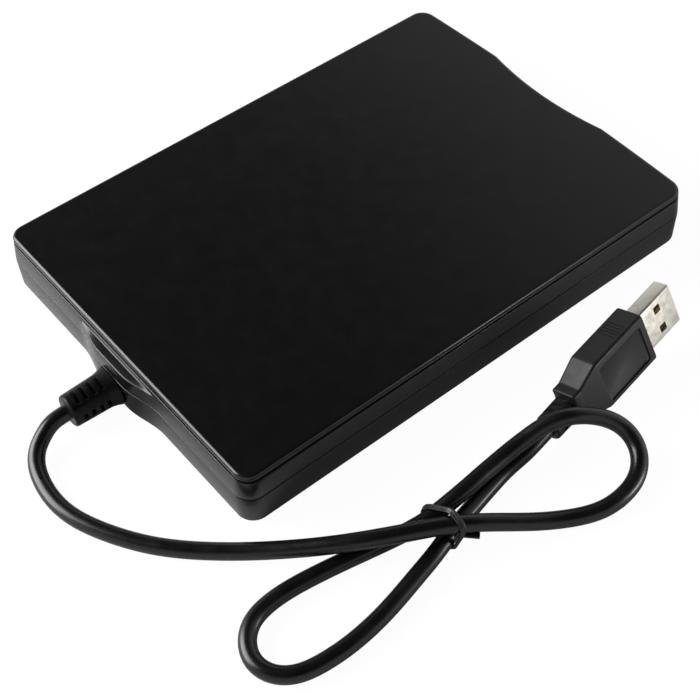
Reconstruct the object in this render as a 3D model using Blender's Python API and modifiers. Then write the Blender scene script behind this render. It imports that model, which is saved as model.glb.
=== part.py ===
"""Slim external floppy disk drive with its own cable and plug.

The drive lies flat: +Z is up, the disk slot faces -Y and the cable leaves at +Y.
Lengths are in metres and angles in degrees. Z = 0 is the table under the feet.
Pieces are placed from the case inwards, so each one takes its size from the
piece that carries it and from a named clearance.
"""

import math

import bmesh
import bpy
import numpy as np
from mathutils import Euler, Matrix, Vector

# Clearances shared by all pieces
GAP = 0.0003
OVERRUN = 0.003
BITE = 0.0003

# Case: two plastic shells that meet at the parting line
CASE_LENGTH = 0.142
CASE_WIDTH = 0.103
CASE_HEIGHT = 0.017
CORNER_RADIUS = 0.004
WALL = 0.0016
TOP_SKIN = 0.0015
FLOOR = 0.0015
WALL_FLARE = 0.00084
LOWER_TAPER = 0.00018
PARTING_DEPTH = 0.0078
SEAM = 0.0003
GROOVE_DROP = 0.0019
GROOVE_WIDTH = 0.0009
GROOVE_DEPTH = 0.0006
RIM_ROUND = 0.0005
EDGE_ROUND = 0.001
FRONT_BOW = 0.00125
SCOOP_WIDTH = 0.0415
SCOOP_DEPTH = 0.0023
LIP_ROOT = 0.0018
LIP_HEIGHT = 0.0012
LIP_THICKNESS = 0.0007

# Swelling of the rear wall round the cable
CABLE_X = 0.0006
CABLE_RISE = 0.0048
BUMP_HEIGHT = 0.0022
BUMP_FLAT = 0.005
BUMP_RAMP = 0.013
LEDGE_DROP = 0.0035
LEDGE_SLOPE = 0.0003

# Rubber feet
FOOT_HEIGHT = 0.0008
FOOT_RADIUS = 0.0045
FOOT_RECESS = 0.001
FOOT_SIDE_INSET = 0.012
FOOT_END_INSET = 0.014

# Screws from below
SCREW_RADIUS = 0.001
SCREW_HEAD_RADIUS = 0.002
SCREW_HEAD_HEIGHT = 0.0006
SCREW_SINK = 0.0009
CASE_SCREW_LENGTH = 0.009
CASE_SCREW_INSET = 0.0061
DRIVE_SCREW_INSET = 0.0085
DRIVE_SCREW_FROM_HUB = 0.0165
BOSS_RADIUS = 0.0024
NUT_HEIGHT = 0.0015

# Front panel and what sits in it
WINDOW_SIDE_INSET = 0.0036
WINDOW_TOP_ROOM = 0.0003
PANEL_BORDER = 0.0008
PANEL_FLANGE = 0.001
SLOT_TOP_BORDER = 0.001
DISK_SPACE = 0.0044
BUTTON_WIDTH = 0.0115
BUTTON_HEIGHT = 0.0036
BUTTON_INSET = 0.0169
BUTTON_LENGTH = 0.009
BUTTON_ROUND = 0.0004
LENS_RADIUS = 0.0015
LENS_INSET = 0.0119
LED_SIZE = 0.0026

# Dust door
DOOR_THICKNESS = 0.001
DOOR_PIN_RADIUS = 0.0005
DOOR_OVERLAP = 0.0004
DOOR_ROOM = 0.00035
EAR_THICKNESS = 0.0006
EAR_DEPTH = 0.0022
DOOR_SPRING_TURNS = 5
DOOR_SPRING_WIRE = 0.0002
DOOR_SPRING_LENGTH = 0.003
DOOR_SPRING_INSET = 0.0179

# Mechanism frame
MECH_SIDE_ROOM = 0.0019
MECH_FLOOR_ROOM = 0.0003
MECH_FRONT_ROOM = 0.0062
MECH_REAR_INSET = 0.0109
SHEET = 0.0007
BASE_SHEET = 0.0008
LID_SHEET = 0.0005
LID_ROOM = 0.001
LID_SEAT = 0.0003
ARM_WINDOW = 0.012

# Eject slide
SLIDE_TRAVEL = 0.0055
SLIDE_SHEET = 0.0005
SLIDE_CLEARANCE = 0.0003
SLIDE_LIFT = 0.0008
SLIDE_BAR_WIDTH = 0.006
SLIDE_BAR_SHEET = 0.0006
SLIDE_BAR_FROM_HUB = 0.0225
SLIDE_STEM_WIDTH = 0.006
WING_FRONT_ROOM = 0.002
WING_REAR_ROOM = 0.003
EJECT_SPRING_RADIUS = 0.0012
EJECT_SPRING_LENGTH = 0.012
EJECT_SPRING_INSET = 0.0105

# Disk carrier, which drops when the disk is in
CARRIER_DROP = 0.0024
CARRIER_SHEET = 0.0005
CARRIER_LIP = 0.004
CARRIER_LID_ROOM = 0.0005
CARRIER_LENGTH = 0.089
CARRIER_PIN_RADIUS = 0.0007
CARRIER_PIN_RISE = 0.0017
CARRIER_PIN_FRONT = 0.012
CARRIER_PIN_REAR = 0.011
CARRIER_NOTCH_LENGTH = 0.027

# Spindle and its motor
HUB_FROM_CARRIER_REAR = 0.0465
HUB_RADIUS = 0.011
HUB_THICKNESS = 0.0005
SHAFT_RADIUS = 0.0009
DRIVE_PIN_RADIUS = 0.0008
DRIVE_PIN_OFFSET = 0.0085
DRIVE_PIN_HEIGHT = 0.0015
ROTOR_RADIUS = 0.0195
ROTOR_SHEET = 0.0005
ROTOR_RIM = 0.0012
ROTOR_HEIGHT = 0.0014
BEARING_RADIUS = 0.0025
BEARING_HEIGHT = 0.0019
STATOR_RADIUS = 0.0175
STATOR_CORE_RADIUS = 0.009
STATOR_THICKNESS = 0.0008
STATOR_TEETH = 12
STATOR_TOOTH_WIDTH = 0.003
BOARD_THICKNESS = 0.0008
MOTOR_BOARD_WIDTH = 0.06
MOTOR_BOARD_FRONT = 0.0195
MOTOR_BOARD_REAR = 0.0155

# Head carriage, its rail and its screw
TRACK_OUT = 0.0395
CARRIAGE_TRAVEL = 0.015
CARRIAGE_FRONT = 0.004
CARRIAGE_REAR = 0.026
CARRIAGE_LEFT = 0.0165
CARRIAGE_RIGHT = 0.007
CARRIAGE_THICKNESS = 0.0018
CARRIAGE_RISE = 0.0012
RAIL_RADIUS = 0.0008
RAIL_X = -0.014
RAIL_RISE = 0.0013
RAIL_HOUSING_WIDTH = 0.005
RAIL_SUPPORT_WIDTH = 0.004
RAIL_SUPPORT_LENGTH = 0.003
RAIL_SUPPORT_HEIGHT = 0.0025
RAIL_END_ROOM = 0.0015
POST_WIDTH = 0.012
POST_LENGTH = 0.0035
ARM_GAP = 0.0005
NEEDLE_SIZE = 0.001
NEEDLE_FROM_REAR = 0.0015
LEAD_SCREW_RADIUS = 0.00125
LEAD_SCREW_ROOT = 0.0009
LEAD_SCREW_X = 0.014
LEAD_SCREW_RIDGES = 9
LEAD_SCREW_JOURNAL = 0.0006
BRACKET_THICKNESS = 0.001
BRACKET_WIDTH = 0.006
BRACKET_ABOVE = 0.002
BRACKET_ROOM = 0.0006
STEPPER_RADIUS = 0.005
STEPPER_WALL = 0.0008
STEPPER_ROTOR_RADIUS = 0.0036
STEPPER_BASE_ROOM = 0.0005
STEPPER_END_ROOM = 0.0008
HEAD_WIDTH = 0.004
HEAD_LENGTH = 0.005
LOWER_HEAD_HEIGHT = 0.0013
UPPER_HEAD_HEIGHT = 0.0003

# Arm over the disk
ARM_WIDTH = 0.008
ARM_SHEET = 0.0008
ARM_CEILING_ROOM = 0.0009
ARM_LUG_LENGTH = 0.0025
ARM_LUG_DROP = 0.0018
ARM_HINGE_RISE = 0.0005

# Lever that pushes the disk out
LEVER_THICKNESS = 0.001
LEVER_LENGTH = 0.022
LEVER_WIDTH = 0.004
LEVER_PIVOT_INSET = 0.0125
LEVER_BEHIND_CARRIER = 0.007
LEVER_RISE = 0.0003
PIVOT_RADIUS = 0.0011
PIVOT_SHOULDER = 0.0018
PIVOT_HEAD = 0.0005

# Boards behind and inside the mechanism
CONTROL_BOARD_STEPPER_ROOM = 0.0013
CONTROL_BOARD_LENGTH = 0.021
CONTROL_BOARD_SIDE = 0.0022
CONTROL_BOARD_REAR = 0.0022
CONTROL_CHIP = 0.01
CHIP_THICKNESS = 0.0011
USB_BOARD_LEFT = 0.0095
USB_BOARD_BOSS_ROOM = 0.0025
BOARD_POST_SHARES = (0.3, 0.75)
CHIP_PLACE_SHARE = 0.8
USB_BOARD_RISE = 0.0032
USB_BOARD_SIDE_ROOM = 0.001
USB_CHIP = 0.0055
CRYSTAL_LENGTH = 0.0045
CRYSTAL_WIDTH = 0.002
CRYSTAL_HEIGHT = 0.0016
HEADER_LENGTH = 0.0036
HEADER_HEIGHT = 0.003
POST_RADIUS = 0.0014
RIBBON_LEFT_INSET = 0.002
RIBBON_RIGHT_INSET = 0.0032
RIBBON_SHEET = 0.0003
RIBBON_SOCKET_DEPTH = 0.003
RIBBON_SOCKET_HEIGHT = 0.0018
RIBBON_SOCKET_BORDER = 0.001
INNER_CABLE_RADIUS = 0.0014

# Strain relief on the case
RELIEF_NECK_RADIUS = 0.0029
RELIEF_COLLAR_WIDTH = 0.005
RELIEF_COLLAR_HEIGHT = 0.0029
RELIEF_COLLAR_LENGTH = 0.0012
RELIEF_FLARE_WIDTH = 0.0064
RELIEF_FLARE_HEIGHT = 0.005
RELIEF_FLARE_LENGTH = 0.0012
RELIEF_BODY_RADIUS = 0.0047
RELIEF_END_RADIUS = 0.0043
RELIEF_SLOT_RADIUS = 0.0033
RELIEF_SLOTS = 4
RELIEF_PITCH = 0.0024
RELIEF_END_LENGTH = 0.002
RELIEF_SIDES = 18

# Cord
CORD_RADIUS = 0.0021
CORD_STEP = 0.0046
CORD_SPLINE_SPACING = 0.001

# Plug at the cord's end, turned on its edge on the table
PLUG_X = -0.07365
PLUG_Y = -0.0311
PLUG_TABLE_ROOM = 0.0001
PLUG_HEADING = -172.9
PLUG_PITCH = 9.0
PLUG_ROLL = 68.7
SHELL_WIDTH = 0.012
SHELL_HEIGHT = 0.0045
SHELL_REACH = 0.0119
SHELL_WALL = 0.0004
SHELL_SEAT = 0.003
SHELL_ROUND = 0.0006
SHELL_HOLE = 0.0022
SHELL_HOLE_SPACING = 0.0062
SHELL_HOLE_FROM_TIP = 0.0058
TONGUE_HEIGHT = 0.0018
TONGUE_TIP_ROOM = 0.0008
CONTACT_WIDTH = 0.001
CONTACT_SPACING = 0.0023
CONTACT_LENGTH = 0.0075
CONTACT_SHEET = 0.0002
CONTACTS = 4
GRIP_WIDTH = 0.0148
GRIP_HEIGHT = 0.0078
GRIP_LENGTH = 0.018
GRIP_ROUND = 0.0012
NECK_WIDTH = 0.0094
NECK_HEIGHT = 0.0072
NECK_START = 0.0245
NECK_LENGTH = 0.0025
BOOT_RADIUS = 0.0035
BOOT_END_RADIUS = 0.0035
BOOT_SLOT_RADIUS = 0.0025
BOOT_SLOTS = 3
BOOT_PITCH = 0.0022

# Tie round three strands of the cord
TIE_Y = 0.0385
TIE_WIDTH = 0.002
TIE_SHEET = 0.0005
TIE_ROOM = 0.0004
TIE_POINTS = 48

# Route of the cord, from the case to the plug: control points chosen by hand in
# metres, (x, y, height of the cord's middle above the table). The first and the
# last few are worked out from the pieces that the cord enters.
CORD_ROUTE = (
    (-0.0006, 0.0948, 0.0043),
    (-0.0023, 0.0979, 0.0031),
    (-0.0053, 0.1001, 0.0023),
    (-0.0095, 0.1015, 0.00215),
    (-0.0157, 0.1024, 0.00215),
    (-0.0234, 0.1017, 0.00215),
    (-0.0327, 0.0977, 0.00215),
    (-0.0421, 0.0919, 0.00215),
    (-0.0499, 0.0847, 0.0022),
    (-0.0578, 0.0763, 0.0029),
    (-0.0658, 0.0675, 0.0048),
    (-0.0719, 0.0607, 0.0071),
    (-0.0756, 0.0555, 0.0081),
    (-0.0794, 0.0488, 0.0083),
    (-0.0840, 0.0397, 0.0083),
    (-0.0877, 0.0331, 0.0069),
    (-0.0911, 0.0272, 0.0050),
    (-0.0943, 0.0214, 0.0031),
    (-0.0975, 0.0156, 0.0022),
    (-0.1003, 0.0101, 0.00215),
    (-0.1014, 0.0052, 0.0022),
    (-0.1013, 0.0004, 0.0024),
    (-0.1004, -0.0037, 0.0028),
    (-0.0984, -0.0071, 0.0036),
    (-0.0955, -0.0094, 0.0047),
    (-0.0921, -0.0102, 0.0062),
    (-0.0888, -0.0092, 0.0081),
    (-0.0859, -0.0064, 0.0101),
    (-0.0835, -0.0024, 0.0119),
    (-0.0815, 0.0018, 0.0127),
    (-0.0796, 0.0058, 0.0114),
    (-0.0786, 0.0100, 0.0095),
    (-0.0779, 0.0146, 0.0078),
    (-0.0779, 0.0195, 0.0070),
    (-0.0782, 0.0245, 0.0068),
    (-0.0785, 0.0290, 0.0064),
    (-0.0784, 0.0334, 0.0055),
    (-0.0781, 0.0375, 0.0043),
    (-0.0777, 0.0418, 0.0034),
    (-0.0766, 0.0468, 0.0027),
    (-0.0750, 0.0534, 0.0022),
    (-0.0728, 0.0632, 0.00215),
    (-0.0708, 0.0748, 0.00215),
    (-0.0709, 0.0820, 0.00215),
    (-0.0723, 0.0867, 0.00215),
    (-0.0758, 0.0903, 0.00215),
    (-0.0806, 0.0918, 0.00215),
    (-0.0852, 0.0903, 0.00215),
    (-0.0883, 0.0867, 0.00215),
    (-0.0897, 0.0819, 0.00215),
    (-0.0903, 0.0750, 0.00215),
    (-0.0900, 0.0680, 0.00215),
    (-0.0888, 0.0600, 0.0022),
    (-0.0870, 0.0520, 0.0026),
    (-0.0856, 0.0450, 0.0030),
    (-0.0835, 0.0385, 0.0031),
    (-0.0821, 0.0328, 0.0027),
    (-0.0806, 0.0272, 0.0022),
    (-0.0794, 0.0215, 0.00215),
    (-0.0785, 0.0165, 0.0024),
)

# Finishes: colour, roughness, metallic
BLACK_SHELL = ((0.018, 0.019, 0.019), 0.45, 0.0)
BLACK_TRIM = ((0.014, 0.014, 0.015), 0.5, 0.0)
RUBBER = ((0.02, 0.02, 0.02), 0.85, 0.0)
CABLE_SKIN = ((0.012, 0.012, 0.012), 0.35, 0.0)
STEEL = ((0.62, 0.62, 0.6), 0.35, 1.0)
ZINC = ((0.55, 0.56, 0.55), 0.45, 1.0)
NICKEL = ((0.78, 0.74, 0.66), 0.28, 1.0)
BRASS = ((0.75, 0.58, 0.3), 0.35, 1.0)
GOLD = ((0.9, 0.68, 0.3), 0.25, 1.0)
COPPER = ((0.72, 0.36, 0.2), 0.4, 1.0)
GREEN_BOARD = ((0.03, 0.16, 0.08), 0.5, 0.0)
CHIP_BLACK = ((0.02, 0.02, 0.022), 0.5, 0.0)
WHITE_PLASTIC = ((0.78, 0.77, 0.73), 0.45, 0.0)
GREY_PLASTIC = ((0.3, 0.3, 0.3), 0.5, 0.0)
CLEAR_GREEN = ((0.25, 0.6, 0.3), 0.2, 0.0)
FLEX_ORANGE = ((0.6, 0.28, 0.06), 0.4, 0.0)

# Heights of the case
CASE_BOTTOM = FOOT_HEIGHT
CASE_TOP = FOOT_HEIGHT + CASE_HEIGHT
PARTING = CASE_TOP - PARTING_DEPTH
FLOOR_TOP = CASE_BOTTOM + FLOOR
CEILING = CASE_TOP - TOP_SKIN
LEDGE = CASE_TOP - LEDGE_DROP
HALF_LENGTH = CASE_LENGTH / 2
HALF_WIDTH = CASE_WIDTH / 2
CABLE_Z = CASE_BOTTOM + CABLE_RISE

# Heights of the mechanism, from the floor up and from the ceiling down
BASE_BOTTOM = FLOOR_TOP + MECH_FLOOR_ROOM
BASE_TOP = BASE_BOTTOM + BASE_SHEET
LID_TOP = CEILING - LID_ROOM
LID_BOTTOM = LID_TOP - LID_SHEET
CARRIER_TOP = LID_BOTTOM - CARRIER_LID_ROOM
BAY_TOP = CARRIER_TOP - CARRIER_SHEET
BAY_BOTTOM = BAY_TOP - DISK_SPACE
CARRIER_BOTTOM = BAY_BOTTOM - CARRIER_SHEET
PANEL_TOP = BAY_TOP + SLOT_TOP_BORDER
WINDOW_TOP = PANEL_TOP + WINDOW_TOP_ROOM
PANEL_BOTTOM = FLOOR_TOP + PANEL_BORDER + GAP
WINDOW_BOTTOM = PANEL_BOTTOM - GAP

# Widths from the case inwards, as distances from the middle
CHASSIS_SIDE = HALF_WIDTH - WALL - MECH_SIDE_ROOM
CHASSIS_INSIDE = CHASSIS_SIDE - SHEET
WING_OUTSIDE = CHASSIS_INSIDE - SLIDE_CLEARANCE
WING_INSIDE = WING_OUTSIDE - SLIDE_SHEET
CARRIER_SIDE = WING_INSIDE - SLIDE_CLEARANCE
BAY_SIDE = CARRIER_SIDE - CARRIER_SHEET
WINDOW_SIDE = HALF_WIDTH - WINDOW_SIDE_INSET
BUTTON_X = WINDOW_SIDE - BUTTON_INSET
LENS_X = LENS_INSET - WINDOW_SIDE
DOOR_SPRING_X = DOOR_SPRING_INSET - BAY_SIDE
EJECT_SPRING_X = EJECT_SPRING_INSET - WING_INSIDE
LEVER_PIVOT_X = LEVER_PIVOT_INSET - WING_INSIDE

# Places along the drive
CHASSIS_REAR = HALF_LENGTH - WALL - MECH_REAR_INSET
PANEL_BACK = -HALF_LENGTH + SCOOP_DEPTH - FRONT_BOW + WALL + PANEL_FLANGE
DOOR_FRONT = PANEL_BACK + DOOR_ROOM
DOOR_AXIS_Y = DOOR_FRONT + DOOR_THICKNESS / 2
DOOR_AXIS_Z = BAY_TOP + DOOR_THICKNESS / 2 + GAP
DOOR_BOTTOM = BAY_BOTTOM - DOOR_OVERLAP
CHASSIS_FRONT = DOOR_AXIS_Y + MECH_FRONT_ROOM
CARRIER_REAR = CHASSIS_FRONT + CARRIER_LENGTH
HUB_Y = CARRIER_REAR - HUB_FROM_CARRIER_REAR
HEAD_Y = HUB_Y + TRACK_OUT


def smoothstep(share):
    """Ease from 0 to 1 with level ends."""
    share = min(max(share, 0.0), 1.0)
    return share * share * (3 - 2 * share)


def wall_offset(z):
    """How far the outer wall leans out at height z, measured from the rim."""
    if z >= PARTING:
        return WALL_FLARE * (CASE_TOP - z) / PARTING_DEPTH
    return WALL_FLARE - LOWER_TAPER * (PARTING - z) / (PARTING - CASE_BOTTOM)


def front_bow(x):
    """How far the front edge bulges forward at x."""
    share = x / HALF_WIDTH
    return FRONT_BOW * max(0.0, 1 - share * share)


def scoop(x):
    """How deep the finger scoop cuts into the front edge at x."""
    share = x / (SCOOP_WIDTH / 2)
    return SCOOP_DEPTH * max(0.0, 1 - share * share)


def front_y(x, offset):
    """The front face's y at x, with the wall leaning out by offset."""
    return -HALF_LENGTH - offset - front_bow(x) + scoop(x)


def rear_bump(x):
    """How far the rear wall swells at x, round the cable."""
    return BUMP_HEIGHT * smoothstep((BUMP_FLAT + BUMP_RAMP - abs(x - CABLE_X)) / BUMP_RAMP)


def corner(sign_x, sign_y, start, offset, steps=5):
    """Points of one rounded corner, counterclockwise from the start angle."""
    radius = CORNER_RADIUS + offset
    points = []
    for step in range(steps + 1):
        angle = math.radians(start + 90 * step / steps)
        x = sign_x * (HALF_WIDTH - CORNER_RADIUS) + radius * math.cos(angle)
        y = sign_y * (HALF_LENGTH - CORNER_RADIUS) + radius * math.sin(angle)
        if sign_y < 0:
            y -= front_bow(x) * (1 - step / steps if sign_x > 0 else step / steps)
        points.append((x, y))
    return points


def case_outline(offset, bump=0.0):
    """The case's outline seen from above, moved out by offset, counterclockwise."""
    flat = HALF_WIDTH - CORNER_RADIUS
    half_scoop = SCOOP_WIDTH / 2
    front = [-flat + (flat - half_scoop) * share for share in (1 / 3, 2 / 3)]
    front += [half_scoop * share for share in np.linspace(-1, 1, 13)]
    front += [flat - (flat - half_scoop) * share for share in (2 / 3, 1 / 3)]
    rear = [CABLE_X + (BUMP_FLAT + BUMP_RAMP) * share for share in np.linspace(1, -1, 15)]
    points = corner(-1, -1, 180, offset)
    points += [(x, front_y(x, offset)) for x in front]
    points += corner(1, -1, 270, offset)
    points += corner(1, 1, 0, offset)
    points += [(x, HALF_LENGTH + offset + bump * rear_bump(x)) for x in rear]
    points += corner(-1, 1, 90, offset)
    return points


FRONT_REACH = -min(y for x, y in case_outline(WALL_FLARE))
REAR_REACH = HALF_LENGTH + WALL_FLARE + BUMP_HEIGHT
DATUM_Y = (FRONT_REACH - REAR_REACH) / 2


def clear_scene():
    """Remove whatever the file opened with."""
    for thing in list(bpy.data.objects):
        bpy.data.objects.remove(thing, do_unlink=True)


clear_scene()
drive = bpy.data.collections.new("external_floppy_drive")
guides = bpy.data.collections.new("cutters_and_guides")
bpy.context.scene.collection.children.link(drive)
bpy.context.scene.collection.children.link(guides)


def empty(name, location, parent=None):
    """An empty that carries pieces, at a joint's axis or at a datum."""
    thing = bpy.data.objects.new(name, None)
    thing.location = location
    thing.parent = parent
    guides.objects.link(thing)
    return thing


datum = empty("drive_datum", (0, DATUM_Y, 0))


def add(name, mesh, location=(0, 0, 0)):
    """Link a new object that holds the mesh or curve, under the datum."""
    thing = bpy.data.objects.new(name, mesh)
    thing.location = location
    thing.parent = datum
    drive.objects.link(thing)
    return thing


def finish(thing, look, pivot=None):
    """Give a piece its own material and, if it moves, its pivot."""
    colour, roughness, metallic = look
    skin = bpy.data.materials.new(thing.name + "_finish")
    skin.use_nodes = True
    shader = skin.node_tree.nodes["Principled BSDF"]
    shader.inputs["Base Color"].default_value = (*colour, 1.0)
    shader.inputs["Roughness"].default_value = roughness
    shader.inputs["Metallic"].default_value = metallic
    thing.data.materials.clear()
    thing.data.materials.append(skin)
    if pivot is not None:
        thing.location = Vector(thing.location) - Vector(pivot.location)
        thing.parent = pivot
    return thing


def as_guide(thing):
    """Make an object a cutter or a guide, left out of the model."""
    thing.hide_render = True
    thing.display_type = "WIRE"
    drive.objects.unlink(thing)
    guides.objects.link(thing)
    return thing


def combine(thing, tool, operation):
    """Boolean the tool into the thing."""
    modifier = thing.modifiers.new(tool.name, "BOOLEAN")
    modifier.operation = operation
    modifier.object = as_guide(tool)
    return thing


def cut(thing, tool):
    """Cut the tool's shape out of the thing."""
    return combine(thing, tool, "DIFFERENCE")


def fuse(thing, tool):
    """Make the tool's shape part of the thing."""
    return combine(thing, tool, "UNION")


def mesh_from(builder, name):
    """Turn a bmesh into a mesh."""
    bmesh.ops.recalc_face_normals(builder, faces=builder.faces)
    mesh = bpy.data.meshes.new(name)
    builder.to_mesh(mesh)
    builder.free()
    return mesh


def block(name, low, high):
    """A box between two corners."""
    low, high = Vector(low), Vector(high)
    builder = bmesh.new()
    bmesh.ops.create_cube(builder, size=1.0)
    bmesh.ops.scale(builder, vec=high - low, verts=builder.verts)
    return add(name, mesh_from(builder, name), (low + high) / 2)


def rod(name, radius, start, end, sides=20):
    """A cylinder from one point to another."""
    start, end = Vector(start), Vector(end)
    builder = bmesh.new()
    bmesh.ops.create_cone(builder, cap_ends=True, segments=sides, radius1=radius, radius2=radius,
                          depth=(end - start).length)
    mesh = mesh_from(builder, name)
    mesh.shade_smooth()
    mesh.set_sharp_from_angle(angle=math.radians(40))
    thing = add(name, mesh, (start + end) / 2)
    thing.rotation_euler = (end - start).to_track_quat("Z", "Y").to_euler()
    return thing


def turned(name, profile, location, steps=24, loop=False, along=(0, 0, 0)):
    """A profile of (radius, height) points turned about its own Z axis.

    An open profile starts and ends on the axis, and a loop leaves a bore.
    Both run down the outer side.
    """
    mesh = bpy.data.meshes.new(name)
    edges = [(index, index + 1) for index in range(len(profile) - 1)]
    if loop:
        edges.append((len(profile) - 1, 0))
    mesh.from_pydata([(radius, 0, height) for radius, height in profile], edges, [])
    thing = add(name, mesh, location)
    thing.rotation_euler = Euler([math.radians(angle) for angle in along])
    screw = thing.modifiers.new("turn", "SCREW")
    screw.steps = steps
    screw.render_steps = steps
    screw.use_merge_vertices = True
    screw.merge_threshold = 0.00001
    screw.use_smooth_shade = False
    return thing


def loft(name, rings):
    """A closed solid through a stack of rings with equal counts of 3D points."""
    builder = bmesh.new()
    rows = [[builder.verts.new(point) for point in ring] for ring in rings]
    for lower, upper in zip(rows[:-1], rows[1:]):
        for index in range(len(lower)):
            after = (index + 1) % len(lower)
            builder.faces.new((lower[index], lower[after], upper[after], upper[index]))
    builder.faces.new(list(reversed(rows[0])))
    builder.faces.new(rows[-1])
    return add(name, mesh_from(builder, name))


def case_loft(name, sections):
    """A loft of case outlines, from (height, offset, bump) sections."""
    return loft(name, [[(x, y, height) for x, y in case_outline(offset, bump)]
                       for height, offset, bump in sections])


def oval_ring(y, half_width, half_height, x=0.0, z=0.0, sides=RELIEF_SIDES):
    """An ellipse across the Y axis at y."""
    ring = []
    for side in range(sides):
        angle = 2 * math.pi * side / sides
        ring.append((x + half_width * math.cos(angle), y, z - half_height * math.sin(angle)))
    return ring


def spline(points, spacing):
    """Points read evenly from the smooth cubic B-spline that the points steer."""
    points = np.array(points, dtype=float)
    first = 2 * points[0] - points[1]
    last = 2 * points[-1] - points[-2]
    steer = np.vstack([first, points, last])
    share = np.linspace(0, 1, 12, endpoint=False)[:, None]
    pieces = []
    for index in range(len(steer) - 3):
        a, b, c, d = steer[index:index + 4]
        pieces.append(((1 - share) ** 3 * a + (3 * share ** 3 - 6 * share ** 2 + 4) * b
                       + (-3 * share ** 3 + 3 * share ** 2 + 3 * share + 1) * c + share ** 3 * d) / 6)
    dense = np.vstack(pieces + [points[-1:]])
    along = np.concatenate([[0], np.cumsum(np.linalg.norm(np.diff(dense, axis=0), axis=1))])
    count = max(4, int(round(along[-1] / spacing)) + 1)
    even = np.linspace(0, along[-1], count)
    return np.column_stack([np.interp(even, along, dense[:, axis]) for axis in range(3)])


def tube(name, points, radius, resolution=2):
    """A round tube along points, as a curve with filled caps."""
    curve = bpy.data.curves.new(name, "CURVE")
    curve.dimensions = "3D"
    curve.bevel_depth = radius
    curve.bevel_resolution = resolution
    curve.use_fill_caps = True
    line = curve.splines.new("POLY")
    line.points.add(len(points) - 1)
    for point, place in zip(line.points, points):
        point.co = (*place, 1.0)
    return add(name, curve)


def wall_sections(bottom, top, inset):
    """Sections of the case wall between two heights, moved in by inset."""
    heights = [bottom, PARTING, top] if bottom < PARTING < top else [bottom, top]
    return [(height, wall_offset(height) - inset, 0.0) for height in heights]


def screw_places():
    """Name, place and kind of the four screws in the case's underside."""
    places = []
    for side, sign in (("left", -1), ("right", 1)):
        rear = (sign * (HALF_WIDTH - CASE_SCREW_INSET), HALF_LENGTH - CASE_SCREW_INSET)
        front = (sign * (CHASSIS_INSIDE - DRIVE_SCREW_INSET + BOSS_RADIUS * 2), HUB_Y - DRIVE_SCREW_FROM_HUB)
        places.append(("case_screw_" + side, rear, True))
        places.append(("drive_screw_" + side, front, False))
    return places


def foot_places():
    """Name and place of the four feet."""
    places = []
    for end, along in (("front", -1), ("rear", 1)):
        for side, sign in (("left", -1), ("right", 1)):
            place = (sign * (HALF_WIDTH - FOOT_SIDE_INSET), along * (HALF_LENGTH - FOOT_END_INSET))
            places.append(("foot_" + end + "_" + side, place))
    return places


def make_top_cover():
    """Upper shell: flat plate, rim groove, leaning wall and two screw bosses."""
    low = PARTING + SEAM / 2
    groove_low = CASE_TOP - GROOVE_DROP - GROOVE_WIDTH / 2
    groove_high = groove_low + GROOVE_WIDTH
    sections = [(low, wall_offset(low), 1.0), (LEDGE - LEDGE_SLOPE, wall_offset(LEDGE), 1.0),
                (LEDGE, wall_offset(LEDGE), 0.0)]
    for height, depth in ((groove_low, 0.0), (groove_low, GROOVE_DEPTH),
                          (groove_high, GROOVE_DEPTH), (groove_high, 0.0)):
        sections.append((height, wall_offset(height) - depth, 0.0))
    for angle in (0, 45, 90):
        turn = math.radians(angle)
        height = CASE_TOP - RIM_ROUND * (1 - math.sin(turn))
        sections.append((height, wall_offset(height) - RIM_ROUND * (1 - math.cos(turn)), 0.0))
    cover = case_loft("top_cover", sections)
    cut(cover, case_loft("top_cavity", wall_sections(PARTING - OVERRUN, CEILING, WALL)))
    cut(cover, block("top_window", (-WINDOW_SIDE, -HALF_LENGTH - OVERRUN, PARTING - OVERRUN),
                     (WINDOW_SIDE, CHASSIS_FRONT, WINDOW_TOP)))
    for name, place, in_case in screw_places():
        if in_case:
            fuse(cover, rod(name + "_boss", BOSS_RADIUS, (*place, FLOOR_TOP + GAP), (*place, CEILING + BITE)))
            cut(cover, rod(name + "_bore", SCREW_RADIUS + GAP, (*place, FLOOR_TOP - OVERRUN),
                           (*place, CASE_BOTTOM + SCREW_SINK + CASE_SCREW_LENGTH + GAP), 12))
    return finish(cover, BLACK_SHELL)


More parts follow.
